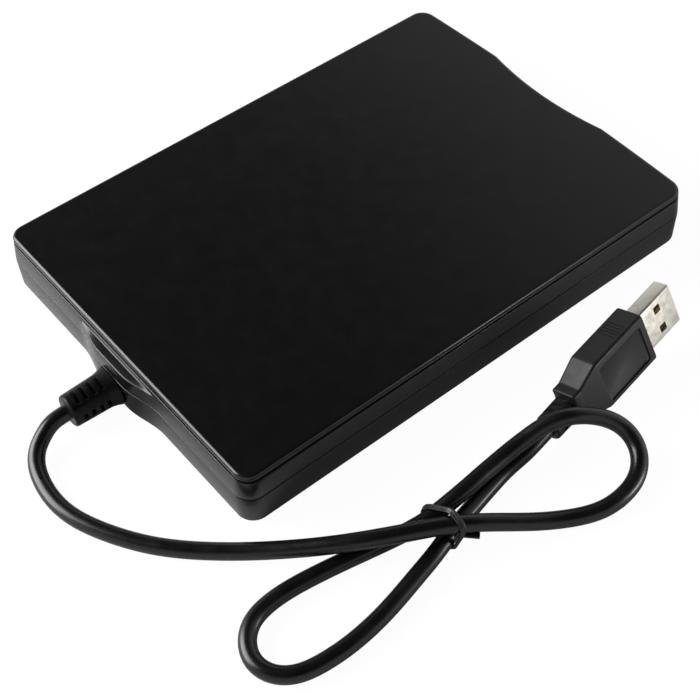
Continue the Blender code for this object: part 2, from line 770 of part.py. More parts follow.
def make_bottom_cover():
    """Lower shell: floor, tapering wall, inner lip, feet seats and the cable's hole."""
    high = PARTING - SEAM / 2
    sections = []
    for angle in (90, 60, 30, 0):
        turn = math.radians(angle)
        height = CASE_BOTTOM + EDGE_ROUND * (1 - math.sin(turn))
        sections.append((height, wall_offset(height) - EDGE_ROUND * (1 - math.cos(turn)), 1.0))
    lip_out = WALL + GAP
    lip_in = lip_out + LIP_THICKNESS
    sections.append((high, wall_offset(high), 1.0))
    sections.append((high, wall_offset(high) - lip_out, 0.0))
    lip_top = PARTING + LIP_HEIGHT
    sections.append((lip_top, wall_offset(lip_top) - lip_out, 0.0))
    cover = case_loft("bottom_cover", sections)
    root = PARTING - LIP_ROOT
    inside = [(FLOOR_TOP, wall_offset(FLOOR_TOP) - WALL, 0.0), (root, wall_offset(root) - WALL, 0.0),
              (root + LIP_THICKNESS, wall_offset(root) - lip_in, 0.0),
              (lip_top + OVERRUN, wall_offset(lip_top) - lip_in, 0.0)]
    cut(cover, case_loft("bottom_cavity", inside))
    cut(cover, block("bottom_window", (-WINDOW_SIDE, -HALF_LENGTH - OVERRUN, WINDOW_BOTTOM),
                     (WINDOW_SIDE, CHASSIS_FRONT, PARTING + OVERRUN)))
    flange_side = WINDOW_SIDE + PANEL_BORDER + GAP
    cut(cover, block("lip_window", (-flange_side, front_y(0, 0) - SCOOP_DEPTH + WALL, FLOOR_TOP + GAP),
                     (flange_side, CHASSIS_FRONT, PARTING + OVERRUN)))
    for name, place in foot_places():
        cut(cover, rod(name + "_seat", FOOT_RADIUS + GAP, (*place, CASE_BOTTOM - OVERRUN),
                       (*place, CASE_BOTTOM + FOOT_RECESS), 24))
    for name, place, in_case in screw_places():
        cut(cover, rod(name + "_sink", SCREW_HEAD_RADIUS + GAP, (*place, CASE_BOTTOM - OVERRUN),
                       (*place, CASE_BOTTOM + SCREW_SINK), 16))
        cut(cover, rod(name + "_way", SCREW_RADIUS + GAP, (*place, CASE_BOTTOM - OVERRUN),
                       (*place, FLOOR_TOP + OVERRUN), 12))
    inner_rear = HALF_LENGTH - WALL - OVERRUN
    cut(cover, rod("cable_hole", RELIEF_NECK_RADIUS + GAP, (CABLE_X, inner_rear, CABLE_Z),
                   (CABLE_X, REAR_REACH + OVERRUN, CABLE_Z), 20))
    board_top = FLOOR_TOP + USB_BOARD_RISE
    for index, share in enumerate(BOARD_POST_SHARES):
        x = USB_BOARD_LEFT + (usb_board_right() - USB_BOARD_LEFT) * share
        y = (CHASSIS_REAR + HALF_LENGTH - WALL) / 2
        fuse(cover, rod("board_post_%d" % index, POST_RADIUS, (x, y, FLOOR_TOP - BITE),
                        (x, y, board_top - GAP), 12))
    return finish(cover, BLACK_SHELL)


def make_front_bezel():
    """Front panel that follows the case's bowed and scooped front."""
    side = WINDOW_SIDE - GAP
    front = -HALF_LENGTH - OVERRUN
    deep = WALL + PANEL_FLANGE
    bezel = block("front_bezel", (-side, front, PANEL_BOTTOM), (side, CHASSIS_FRONT, PANEL_TOP))
    combine(bezel, case_loft("panel_face", wall_sections(CASE_BOTTOM, CASE_TOP, 0.0)), "INTERSECT")
    flange_side = WINDOW_SIDE + PANEL_BORDER
    flange = block("panel_flange", (-flange_side, front, PANEL_BOTTOM - PANEL_BORDER),
                   (flange_side, CHASSIS_FRONT, PANEL_TOP + PANEL_BORDER))
    combine(flange, case_loft("flange_face", wall_sections(CASE_BOTTOM, CASE_TOP, WALL + GAP)), "INTERSECT")
    fuse(bezel, flange)
    cut(bezel, case_loft("panel_back", wall_sections(CASE_BOTTOM - OVERRUN, CASE_TOP + OVERRUN, deep)))
    for sign in (-1, 1):
        inner = sign * (BAY_SIDE + GAP + GAP)
        outer = sign * (BAY_SIDE + GAP + GAP + EAR_THICKNESS)
        ear_front = front_y(inner, wall_offset(DOOR_AXIS_Z)) + WALL + GAP + BITE
        ear = block("ear_%d" % sign, (min(inner, outer), ear_front, DOOR_AXIS_Z - EAR_DEPTH / 2),
                    (max(inner, outer), DOOR_AXIS_Y + EAR_DEPTH / 2, PANEL_TOP + PANEL_BORDER - GAP))
        fuse(bezel, ear)
        cut(bezel, rod("ear_bore_%d" % sign, DOOR_PIN_RADIUS + GAP,
                       (min(inner, outer) - GAP, DOOR_AXIS_Y, DOOR_AXIS_Z),
                       (max(inner, outer) + GAP, DOOR_AXIS_Y, DOOR_AXIS_Z), 12))
    cut(bezel, block("slot", (-BAY_SIDE, front, BAY_BOTTOM), (BAY_SIDE, CHASSIS_FRONT, BAY_TOP)))
    button_z = (PANEL_BOTTOM + BAY_BOTTOM) / 2
    half_width = BUTTON_WIDTH / 2 + GAP
    half_height = BUTTON_HEIGHT / 2 + GAP
    cut(bezel, block("button_window", (BUTTON_X - half_width, front, button_z - half_height),
                     (BUTTON_X + half_width, CHASSIS_FRONT, button_z + half_height)))
    cut(bezel, rod("lens_hole", LENS_RADIUS + GAP, (LENS_X, front, button_z),
                   (LENS_X, CHASSIS_FRONT, button_z)))
    return finish(bezel, BLACK_TRIM)


def make_lens_and_led():
    """Light pipe in the panel and the lamp behind it, on the mechanism's base."""
    z = (PANEL_BOTTOM + BAY_BOTTOM) / 2
    led_front = CHASSIS_FRONT + GAP
    finish(rod("activity_lens", LENS_RADIUS, (LENS_X, front_y(LENS_X, wall_offset(z)), z),
               (LENS_X, led_front - GAP, z)), CLEAR_GREEN)
    half = LED_SIZE / 2
    finish(block("activity_led", (LENS_X - half, led_front, BASE_TOP + GAP),
                 (LENS_X + half, led_front + LED_SIZE, z + half)), WHITE_PLASTIC)


def make_feet_and_screws():
    """Four rubber feet in their seats and four screws in their sinks."""
    for name, (x, y) in foot_places():
        top = FOOT_HEIGHT + FOOT_RECESS - GAP
        profile = [(0, top), (FOOT_RADIUS, top), (FOOT_RADIUS, EDGE_ROUND / 2),
                   (FOOT_RADIUS - EDGE_ROUND / 2, 0), (0, 0)]
        finish(turned(name, profile, (x, y, 0)), RUBBER)
    for name, (x, y), in_case in screw_places():
        head_top = CASE_BOTTOM + SCREW_SINK - GAP
        length = CASE_SCREW_LENGTH if in_case else BASE_TOP + NUT_HEIGHT - head_top
        profile = [(0, length), (SCREW_RADIUS, length), (SCREW_RADIUS, 0), (SCREW_HEAD_RADIUS, 0),
                   (SCREW_HEAD_RADIUS, -SCREW_HEAD_HEIGHT), (0, -SCREW_HEAD_HEIGHT)]
        finish(turned(name, profile, (x, y, head_top), 12), ZINC)


def make_dust_door():
    """Flap behind the slot, hung on two pins, and its torsion spring."""
    hinge = empty("dust_door_axis", (0, DOOR_AXIS_Y, DOOR_AXIS_Z), datum)
    side = BAY_SIDE + GAP
    half = DOOR_THICKNESS / 2
    door = block("dust_door", (-side, DOOR_AXIS_Y - half, DOOR_BOTTOM),
                 (side, DOOR_AXIS_Y + half, DOOR_AXIS_Z))
    fuse(door, rod("door_knuckle", half, (-side, DOOR_AXIS_Y, DOOR_AXIS_Z),
                   (side, DOOR_AXIS_Y, DOOR_AXIS_Z), 16))
    coil = DOOR_PIN_RADIUS + GAP + DOOR_SPRING_WIRE
    room = coil + DOOR_SPRING_WIRE + GAP
    low = DOOR_SPRING_X - DOOR_SPRING_LENGTH / 2 - room
    high = DOOR_SPRING_X + DOOR_SPRING_LENGTH / 2 + room
    cut(door, block("spring_notch", (low, DOOR_AXIS_Y - room, DOOR_AXIS_Z - room),
                    (high, DOOR_AXIS_Y + room, DOOR_AXIS_Z + room)))
    reach = side + GAP + EAR_THICKNESS
    fuse(door, rod("door_pin", DOOR_PIN_RADIUS, (-reach, DOOR_AXIS_Y, DOOR_AXIS_Z),
                   (reach, DOOR_AXIS_Y, DOOR_AXIS_Z), 12))
    finish(door, BLACK_TRIM, hinge)
    points = []
    for step in range(DOOR_SPRING_TURNS * 8 + 1):
        angle = 2 * math.pi * step / 8
        x = DOOR_SPRING_X + DOOR_SPRING_LENGTH * (step / (DOOR_SPRING_TURNS * 8) - 0.5)
        points.append((x, DOOR_AXIS_Y + coil * math.cos(angle), DOOR_AXIS_Z + coil * math.sin(angle)))
    finish(tube("dust_door_spring", points, DOOR_SPRING_WIRE, 1), STEEL, hinge)


def make_chassis():
    """Folded steel tray of the mechanism, with nuts and rail supports."""
    wall_top = LID_BOTTOM - LID_SEAT
    tray = block("drive_chassis", (-CHASSIS_SIDE, CHASSIS_FRONT, BASE_BOTTOM),
                 (CHASSIS_SIDE, CHASSIS_REAR, wall_top))
    cut(tray, block("tray_inside", (-CHASSIS_INSIDE, CHASSIS_FRONT - OVERRUN, BASE_TOP),
                    (CHASSIS_INSIDE, CHASSIS_REAR - SHEET, wall_top + OVERRUN)))
    for name, place, in_case in screw_places():
        if not in_case:
            fuse(tray, rod(name + "_nut", BOSS_RADIUS, (*place, BASE_TOP - BITE),
                           (*place, BASE_TOP + NUT_HEIGHT), 16))
            cut(tray, rod(name + "_thread", SCREW_RADIUS + GAP, (*place, BASE_BOTTOM - OVERRUN),
                          (*place, BASE_TOP + NUT_HEIGHT + OVERRUN), 12))
    rail_z = BASE_TOP + RAIL_RISE
    for index, (start, end) in enumerate(rail_supports()):
        fuse(tray, block("rail_support_%d" % index,
                         (RAIL_X - RAIL_SUPPORT_WIDTH / 2, start, BASE_TOP - BITE),
                         (RAIL_X + RAIL_SUPPORT_WIDTH / 2, end, BASE_TOP + RAIL_SUPPORT_HEIGHT)))
        cut(tray, rod("rail_seat_%d" % index, RAIL_RADIUS + GAP, (RAIL_X, start - GAP, rail_z),
                      (RAIL_X, end + GAP, rail_z), 12))
    left, right = ribbon_sides()
    low = ribbon_height()
    cut(tray, block("ribbon_way", (left - RIBBON_SOCKET_BORDER, CHASSIS_REAR - SHEET - BITE,
                                   low - RIBBON_SOCKET_BORDER),
                    (right + RIBBON_SOCKET_BORDER, CHASSIS_REAR + OVERRUN,
                     low + RIBBON_SOCKET_HEIGHT + RIBBON_SOCKET_BORDER)))
    finish(tray, STEEL)
    lid = block("drive_lid", (-CHASSIS_SIDE, CHASSIS_FRONT, LID_BOTTOM),
                (CHASSIS_SIDE, CHASSIS_REAR, LID_TOP))
    cut(lid, block("arm_window", (-ARM_WINDOW / 2, HEAD_Y - CARRIAGE_TRAVEL - CARRIAGE_FRONT - GAP,
                                  LID_BOTTOM - OVERRUN),
                   (ARM_WINDOW / 2, HEAD_Y + CARRIAGE_REAR + GAP, LID_TOP + OVERRUN)))
    finish(lid, STEEL)


def rail_supports():
    """Start and end of the two blocks that hold the guide rail."""
    front_end = HEAD_Y - CARRIAGE_TRAVEL - CARRIAGE_FRONT - RAIL_END_ROOM
    rear_start = HEAD_Y + CARRIAGE_REAR + RAIL_END_ROOM
    return ((front_end - RAIL_SUPPORT_LENGTH, front_end), (rear_start, rear_start + RAIL_SUPPORT_LENGTH))


def slide_bar():
    """Front and rear of the eject slide's cross bar."""
    rear = HUB_Y - SLIDE_BAR_FROM_HUB
    return rear - SLIDE_BAR_WIDTH, rear


def carrier_pins():
    """Places (y, z) of the carrier's guide pins on each side."""
    z = CARRIER_BOTTOM + CARRIER_PIN_RISE
    return ((CHASSIS_FRONT + CARRIER_PIN_FRONT, z), (CARRIER_REAR - CARRIER_PIN_REAR, z))


def make_eject_slide():
    """Slide with two slotted wings, the button on its stem, and its spring."""
    track = empty("eject_slide_track", (BUTTON_X, front_y(BUTTON_X, 0), BASE_TOP), datum)
    bottom = BASE_TOP + SLIDE_LIFT
    top = LID_BOTTOM - LID_SEAT - SLIDE_CLEARANCE
    bar_front, bar_rear = slide_bar()
    slider = block("eject_slider", (-WING_OUTSIDE, bar_front, bottom),
                   (WING_OUTSIDE, bar_rear, bottom + SLIDE_BAR_SHEET))
    wing_front = CHASSIS_FRONT + SLIDE_TRAVEL + WING_FRONT_ROOM
    wing_rear = CARRIER_REAR - WING_REAR_ROOM
    button_front = front_y(BUTTON_X, wall_offset((PANEL_BOTTOM + BAY_BOTTOM) / 2))
    stem_front = button_front + BUTTON_LENGTH + GAP
    fuse(slider, block("eject_stem", (BUTTON_X - SLIDE_STEM_WIDTH / 2, stem_front, bottom),
                       (BUTTON_X + SLIDE_STEM_WIDTH / 2, bar_front + BITE, bottom + SLIDE_BAR_SHEET)))
    for sign in (-1, 1):
        inner, outer = sorted((sign * WING_INSIDE, sign * WING_OUTSIDE))
        fuse(slider, block("wing_%d" % sign, (inner, wing_front, bottom), (outer, wing_rear, top)))
        for index, (y, z) in enumerate(carrier_pins()):
            radius = CARRIER_PIN_RADIUS + GAP
            start = Vector((inner - OVERRUN / 3, y, z))
            end = Vector((inner - OVERRUN / 3, y + SLIDE_TRAVEL, z - CARRIER_DROP))
            cut(slider, slanted_slot("cam_%d_%d" % (sign, index), start, end, radius,
                                     SLIDE_SHEET + OVERRUN / 3 * 2))
    finish(slider, STEEL, track)
    z = (PANEL_BOTTOM + BAY_BOTTOM) / 2
    button = block("eject_button", (BUTTON_X - BUTTON_WIDTH / 2, button_front, z - BUTTON_HEIGHT / 2),
                   (BUTTON_X + BUTTON_WIDTH / 2, button_front + BUTTON_LENGTH, z + BUTTON_HEIGHT / 2))
    bevel = button.modifiers.new("soft_edges", "BEVEL")
    bevel.width = BUTTON_ROUND
    bevel.segments = 2
    finish(button, GREY_PLASTIC, track)
    spring_z = bottom + SLIDE_BAR_SHEET + GAP + EJECT_SPRING_RADIUS
    finish(rod("eject_spring", EJECT_SPRING_RADIUS, (EJECT_SPRING_X, bar_front, spring_z),
               (EJECT_SPRING_X, bar_front + EJECT_SPRING_LENGTH, spring_z), 12), STEEL, track)


def slanted_slot(name, start, end, radius, depth):
    """A cutter with round ends between two points, running depth along +X."""
    along = (end - start).normalized()
    heading = math.atan2(along.z, along.y)
    ring = []
    for centre, first in ((end, -90), (start, 90)):
        for step in range(7):
            angle = heading + math.radians(first + 30 * step)
            ring.append((centre.y + radius * math.cos(angle), centre.z + radius * math.sin(angle)))
    return loft(name, [[(start.x, y, z) for y, z in ring], [(start.x + depth, y, z) for y, z in ring]])


def make_carrier():
    """Steel channel that holds the disk, with four guide pins and a head notch."""
    track = empty("carrier_track", (0, HUB_Y, CARRIER_TOP), datum)
    carrier = block("disk_carrier", (-CARRIER_SIDE, CHASSIS_FRONT, CARRIER_BOTTOM),
                    (CARRIER_SIDE, CARRIER_REAR, CARRIER_TOP))
    cut(carrier, block("bay", (-BAY_SIDE, CHASSIS_FRONT - OVERRUN, BAY_BOTTOM),
                       (BAY_SIDE, CARRIER_REAR + OVERRUN, BAY_TOP)))
    lip = CARRIER_SIDE - CARRIER_LIP
    cut(carrier, block("bay_bottom", (-lip, CHASSIS_FRONT - OVERRUN, CARRIER_BOTTOM - OVERRUN),
                       (lip, CARRIER_REAR + OVERRUN, BAY_BOTTOM + BITE)))
    cut(carrier, block("head_notch", (-ARM_WINDOW / 2, CARRIER_REAR - CARRIER_NOTCH_LENGTH, BAY_TOP - BITE),
                       (ARM_WINDOW / 2, CARRIER_REAR + OVERRUN, CARRIER_TOP + OVERRUN)))
    reach = WING_OUTSIDE + GAP / 2
    for sign in (-1, 1):
        for index, (y, z) in enumerate(carrier_pins()):
            fuse(carrier, rod("carrier_pin_%d_%d" % (sign, index), CARRIER_PIN_RADIUS,
                              (sign * (CARRIER_SIDE - BITE), y, z), (sign * reach, y, z), 12))
    finish(carrier, STEEL, track)


def make_spindle():
    """Motor board, stator and bearing, with the rotor, hub and drive pin that turn."""
    board_low = BASE_TOP + GAP
    board_top = board_low + BOARD_THICKNESS
    stator_low = board_top + GAP
    stator_top = stator_low + STATOR_THICKNESS
    rotor_low = stator_low
    rotor_top = rotor_low + ROTOR_HEIGHT
    plate_low = rotor_top - ROTOR_SHEET
    hub_low = rotor_top + GAP
    hub_top = hub_low + HUB_THICKNESS
    board = block("motor_board", (-MOTOR_BOARD_WIDTH / 2, HUB_Y - MOTOR_BOARD_FRONT, board_low),
                  (MOTOR_BOARD_WIDTH / 2, HUB_Y + MOTOR_BOARD_REAR, board_top))
    cut(board, rod("board_hole", BEARING_RADIUS + GAP, (0, HUB_Y, board_low - OVERRUN),
                   (0, HUB_Y, board_top + OVERRUN)))
    finish(board, GREEN_BOARD)
    core = turned("stator", [(BEARING_RADIUS + GAP, STATOR_THICKNESS), (STATOR_CORE_RADIUS, STATOR_THICKNESS),
                             (STATOR_CORE_RADIUS, 0), (BEARING_RADIUS + GAP, 0)],
                  (0, HUB_Y, stator_low), 24, True)
    for tooth in range(STATOR_TEETH):
        angle = 2 * math.pi * tooth / STATOR_TEETH
        arm = block("tooth_%d" % tooth, (STATOR_CORE_RADIUS - BITE * 3, -STATOR_TOOTH_WIDTH / 2, 0),
                    (STATOR_RADIUS, STATOR_TOOTH_WIDTH / 2, STATOR_THICKNESS))
        arm.data.transform(Matrix.Translation(arm.location))
        arm.location = (0, HUB_Y, stator_low)
        arm.rotation_euler = (0, 0, angle)
        fuse(core, arm)
    finish(core, COPPER)
    bore = SHAFT_RADIUS + GAP
    bearing_top = min(BASE_TOP + GAP + BEARING_HEIGHT, plate_low - GAP)
    finish(turned("spindle_bearing", [(bore, bearing_top - board_low),
                                      (BEARING_RADIUS, bearing_top - board_low),
                                      (BEARING_RADIUS, 0), (bore, 0)], (0, HUB_Y, board_low), 24, True),
                                       BRASS)
    axis = empty("spindle_axis", (0, HUB_Y, hub_top), datum)
    inner_rim = ROTOR_RADIUS - ROTOR_RIM
    height = rotor_top - rotor_low
    plate = plate_low - rotor_low
    cup = [(bore, height), (ROTOR_RADIUS, height), (ROTOR_RADIUS, 0), (inner_rim, 0), (inner_rim, plate),
           (bore, plate)]
    rotor = turned("rotor", cup, (0, HUB_Y, rotor_low), 40, True)
    cut(rotor, rod("rotor_pin_hole", DRIVE_PIN_RADIUS + GAP, (DRIVE_PIN_OFFSET, HUB_Y, plate_low - BITE),
                   (DRIVE_PIN_OFFSET, HUB_Y, rotor_top + BITE), 12))
    finish(rotor, ZINC, axis)
    shaft_low = board_low + GAP - hub_low
    hub = turned("spindle_hub", [(0, HUB_THICKNESS), (HUB_RADIUS, HUB_THICKNESS), (HUB_RADIUS, 0),
                                 (SHAFT_RADIUS, 0), (SHAFT_RADIUS, shaft_low), (0, shaft_low)],
                 (0, HUB_Y, hub_low), 32)
    cut(hub, rod("hub_pin_hole", DRIVE_PIN_RADIUS + GAP, (DRIVE_PIN_OFFSET, HUB_Y, hub_low - BITE),
                 (DRIVE_PIN_OFFSET, HUB_Y, hub_top + BITE), 12))
    finish(hub, NICKEL, axis)
    finish(rod("drive_pin", DRIVE_PIN_RADIUS, (DRIVE_PIN_OFFSET, HUB_Y, plate_low),
               (DRIVE_PIN_OFFSET, HUB_Y, hub_top + DRIVE_PIN_HEIGHT / 2), 12), STEEL, axis)


def lead_screw_z():
    """Height of the lead screw's axis, in line with the stepper motor's."""
    return BASE_TOP + STEPPER_BASE_ROOM + STEPPER_RADIUS


def stepper_front():
    """Where the stepper motor's front face is."""
    return HEAD_Y + CARRIAGE_REAR - GAP


def make_head_drive():
    """Rail, stepper motor, screw bracket and lead screw."""
    rail_z = BASE_TOP + RAIL_RISE
    (front, _), (_, rear) = rail_supports()
    finish(rod("guide_rail", RAIL_RADIUS, (RAIL_X, front + GAP, rail_z), (RAIL_X, rear - GAP, rail_z),
               12), STEEL)
    z = lead_screw_z()
    start = stepper_front()
    end = CHASSIS_REAR - SHEET - STEPPER_END_ROOM
    span = end - start
    hole = LEAD_SCREW_JOURNAL + GAP
    inside = STEPPER_RADIUS - STEPPER_WALL
    can = [(0, span), (STEPPER_RADIUS, span), (STEPPER_RADIUS, 0), (hole, 0), (hole, STEPPER_WALL),
           (inside, STEPPER_WALL), (inside, span - STEPPER_WALL), (0, span - STEPPER_WALL)]
    finish(turned("stepper_motor", can, (LEAD_SCREW_X, start, z), 28, False, (-90, 0, 0)), ZINC)
    bracket_front = CARRIER_REAR + BRACKET_ROOM
    bracket = block("screw_bracket", (LEAD_SCREW_X - BRACKET_WIDTH / 2, bracket_front, BASE_TOP + GAP),
                    (LEAD_SCREW_X + BRACKET_WIDTH / 2, bracket_front + BRACKET_THICKNESS, z + BRACKET_ABOVE))
    cut(bracket, rod("journal_bore", LEAD_SCREW_JOURNAL + GAP, (LEAD_SCREW_X, bracket_front - OVERRUN, z),
                     (LEAD_SCREW_X, bracket_front + OVERRUN, z), 12))
    finish(bracket, STEEL)
    axis = empty("lead_screw_axis", (LEAD_SCREW_X, start, z), datum)
    thread_start = bracket_front + BRACKET_THICKNESS + GAP
    thread_end = start - GAP
    length = thread_end - thread_start
    journal = thread_start - bracket_front - GAP
    profile = [(0, -journal), (LEAD_SCREW_JOURNAL, -journal), (LEAD_SCREW_JOURNAL, 0), (LEAD_SCREW_ROOT, 0)]
    for ridge in range(LEAD_SCREW_RIDGES):
        low = length * ridge / LEAD_SCREW_RIDGES
        pitch = length / LEAD_SCREW_RIDGES
        profile += [(LEAD_SCREW_ROOT, low + pitch / 5), (LEAD_SCREW_RADIUS, low + pitch * 2 / 5),
                    (LEAD_SCREW_RADIUS, low + pitch * 3 / 5), (LEAD_SCREW_ROOT, low + pitch * 4 / 5)]
    tail = end - STEPPER_WALL - GAP - thread_start
    profile += [(LEAD_SCREW_ROOT, length), (LEAD_SCREW_JOURNAL, length), (LEAD_SCREW_JOURNAL, tail),
                (0, tail)]
    screw = turned("lead_screw", profile[::-1], (LEAD_SCREW_X, thread_start, z), 12, False, (-90, 0, 0))
    finish(screw, STEEL, axis)
    low = start + STEPPER_WALL + GAP
    high = end - STEPPER_WALL - GAP
    magnet = [(hole, high - low), (STEPPER_ROTOR_RADIUS, high - low), (STEPPER_ROTOR_RADIUS, 0), (hole, 0)]
    finish(turned("stepper_rotor", magnet, (LEAD_SCREW_X, low, z), 24, True, (-90, 0, 0)), CHIP_BLACK, axis)


def make_carriage():
    """Carriage on the rail with the lower head, and the arm with the upper head."""
    track = empty("carriage_track", (0, HEAD_Y, BASE_TOP), datum)
    low = BASE_TOP + CARRIAGE_RISE
    top = low + CARRIAGE_THICKNESS
    front = HEAD_Y - CARRIAGE_FRONT
    rear = HEAD_Y + CARRIAGE_REAR
    rail_z = BASE_TOP + RAIL_RISE
    carriage = block("head_carriage", (-CARRIAGE_LEFT, front, low), (CARRIAGE_RIGHT, rear, top))
    fuse(carriage, block("rail_housing", (RAIL_X - RAIL_HOUSING_WIDTH / 2, front, BASE_TOP + GAP),
                         (RAIL_X + RAIL_HOUSING_WIDTH / 2, rear, top)))
    half = RAIL_RADIUS + GAP
    cut(carriage, block("rail_channel", (RAIL_X - half, front - OVERRUN, BASE_TOP - OVERRUN),
                        (RAIL_X + half, rear + OVERRUN, rail_z + half)))
    arm_top = CEILING - ARM_CEILING_ROOM
    arm_low = arm_top - ARM_SHEET
    lug_low = arm_low - ARM_LUG_DROP
    post_top = lug_low - ARM_GAP
    fuse(carriage, block("arm_post", (-POST_WIDTH / 2, rear - POST_LENGTH, top - BITE),
                         (POST_WIDTH / 2, rear, post_top)))
    z = lead_screw_z()
    half = NEEDLE_SIZE / 2
    needle_y = rear - NEEDLE_FROM_REAR
    fuse(carriage, block("needle", (POST_WIDTH / 2 - BITE, needle_y - half, z - half),
                         (LEAD_SCREW_X - LEAD_SCREW_RADIUS - GAP, needle_y + half, z + half)))
    finish(carriage, GREY_PLASTIC, track)
    finish(block("lower_head", (-HEAD_WIDTH / 2, HEAD_Y - HEAD_LENGTH / 2, top + GAP),
                 (HEAD_WIDTH / 2, HEAD_Y + HEAD_LENGTH / 2, top + GAP + LOWER_HEAD_HEIGHT)), CHIP_BLACK,
                  track)
    hinge = empty("head_arm_axis", (0, rear - ARM_LUG_LENGTH / 2, lug_low + ARM_HINGE_RISE), datum)
    arm = block("head_arm", (-ARM_WIDTH / 2, front, arm_low), (ARM_WIDTH / 2, rear, arm_top))
    fuse(arm, block("arm_lug", (-ARM_WIDTH / 2, rear - ARM_LUG_LENGTH, lug_low),
                    (ARM_WIDTH / 2, rear, arm_low + BITE)))
    finish(arm, STEEL, hinge)
    finish(block("upper_head", (-HEAD_WIDTH / 2, HEAD_Y - HEAD_LENGTH / 2, arm_low - GAP - UPPER_HEAD_HEIGHT),
                 (HEAD_WIDTH / 2, HEAD_Y + HEAD_LENGTH / 2, arm_low - GAP)), CHIP_BLACK, hinge)


def make_lever():
    """Lever that pushes the disk out, and the shouldered pivot that it turns on."""
    place = (LEVER_PIVOT_X, CARRIER_REAR + LEVER_BEHIND_CARRIER)
    low = BAY_BOTTOM + LEVER_RISE
    top = low + LEVER_THICKNESS
    base = BASE_TOP + GAP
    profile = [(0, top + GAP + PIVOT_HEAD), (PIVOT_SHOULDER, top + GAP + PIVOT_HEAD),
               (PIVOT_SHOULDER, top + GAP),
               (PIVOT_RADIUS, top + GAP), (PIVOT_RADIUS, low - GAP), (PIVOT_SHOULDER, low - GAP),
               (PIVOT_SHOULDER, base), (0, base)]
    profile = [(radius, height - base) for radius, height in profile]
    finish(turned("lever_pivot", profile, (*place, base), 16), STEEL)
    axis = empty("ejector_lever_axis", (*place, low), datum)
    half = LEVER_WIDTH / 2
    lever = block("ejector_lever", (place[0], place[1] - half, low),
                  (place[0] + LEVER_LENGTH, place[1] + half, top))
    fuse(lever, rod("lever_eye", half, (*place, low), (*place, top), 20))
    fuse(lever, rod("lever_nose", half, (place[0] + LEVER_LENGTH, place[1], low),
                    (place[0] + LEVER_LENGTH, place[1], top), 20))
    cut(lever, rod("lever_bore", PIVOT_RADIUS + GAP, (*place, low - OVERRUN), (*place, top + OVERRUN), 16))
    finish(lever, STEEL, axis)


def control_board_sides():
    """Left and right of the control board."""
    return LEAD_SCREW_X + STEPPER_RADIUS + CONTROL_BOARD_STEPPER_ROOM, WING_INSIDE - CONTROL_BOARD_SIDE


def usb_board_right():
    """Right end of the interface board, beside the rear screw boss."""
    return HALF_WIDTH - CASE_SCREW_INSET - BOSS_RADIUS - USB_BOARD_BOSS_ROOM


def ribbon_sides():
    """Left and right of the flat ribbon between the two boards."""
    return control_board_sides()[0] + RIBBON_LEFT_INSET, usb_board_right() - RIBBON_RIGHT_INSET


def ribbon_height():
    """Height of the ribbon sockets' undersides on the control board."""
    return BASE_TOP + GAP + BOARD_THICKNESS + GAP


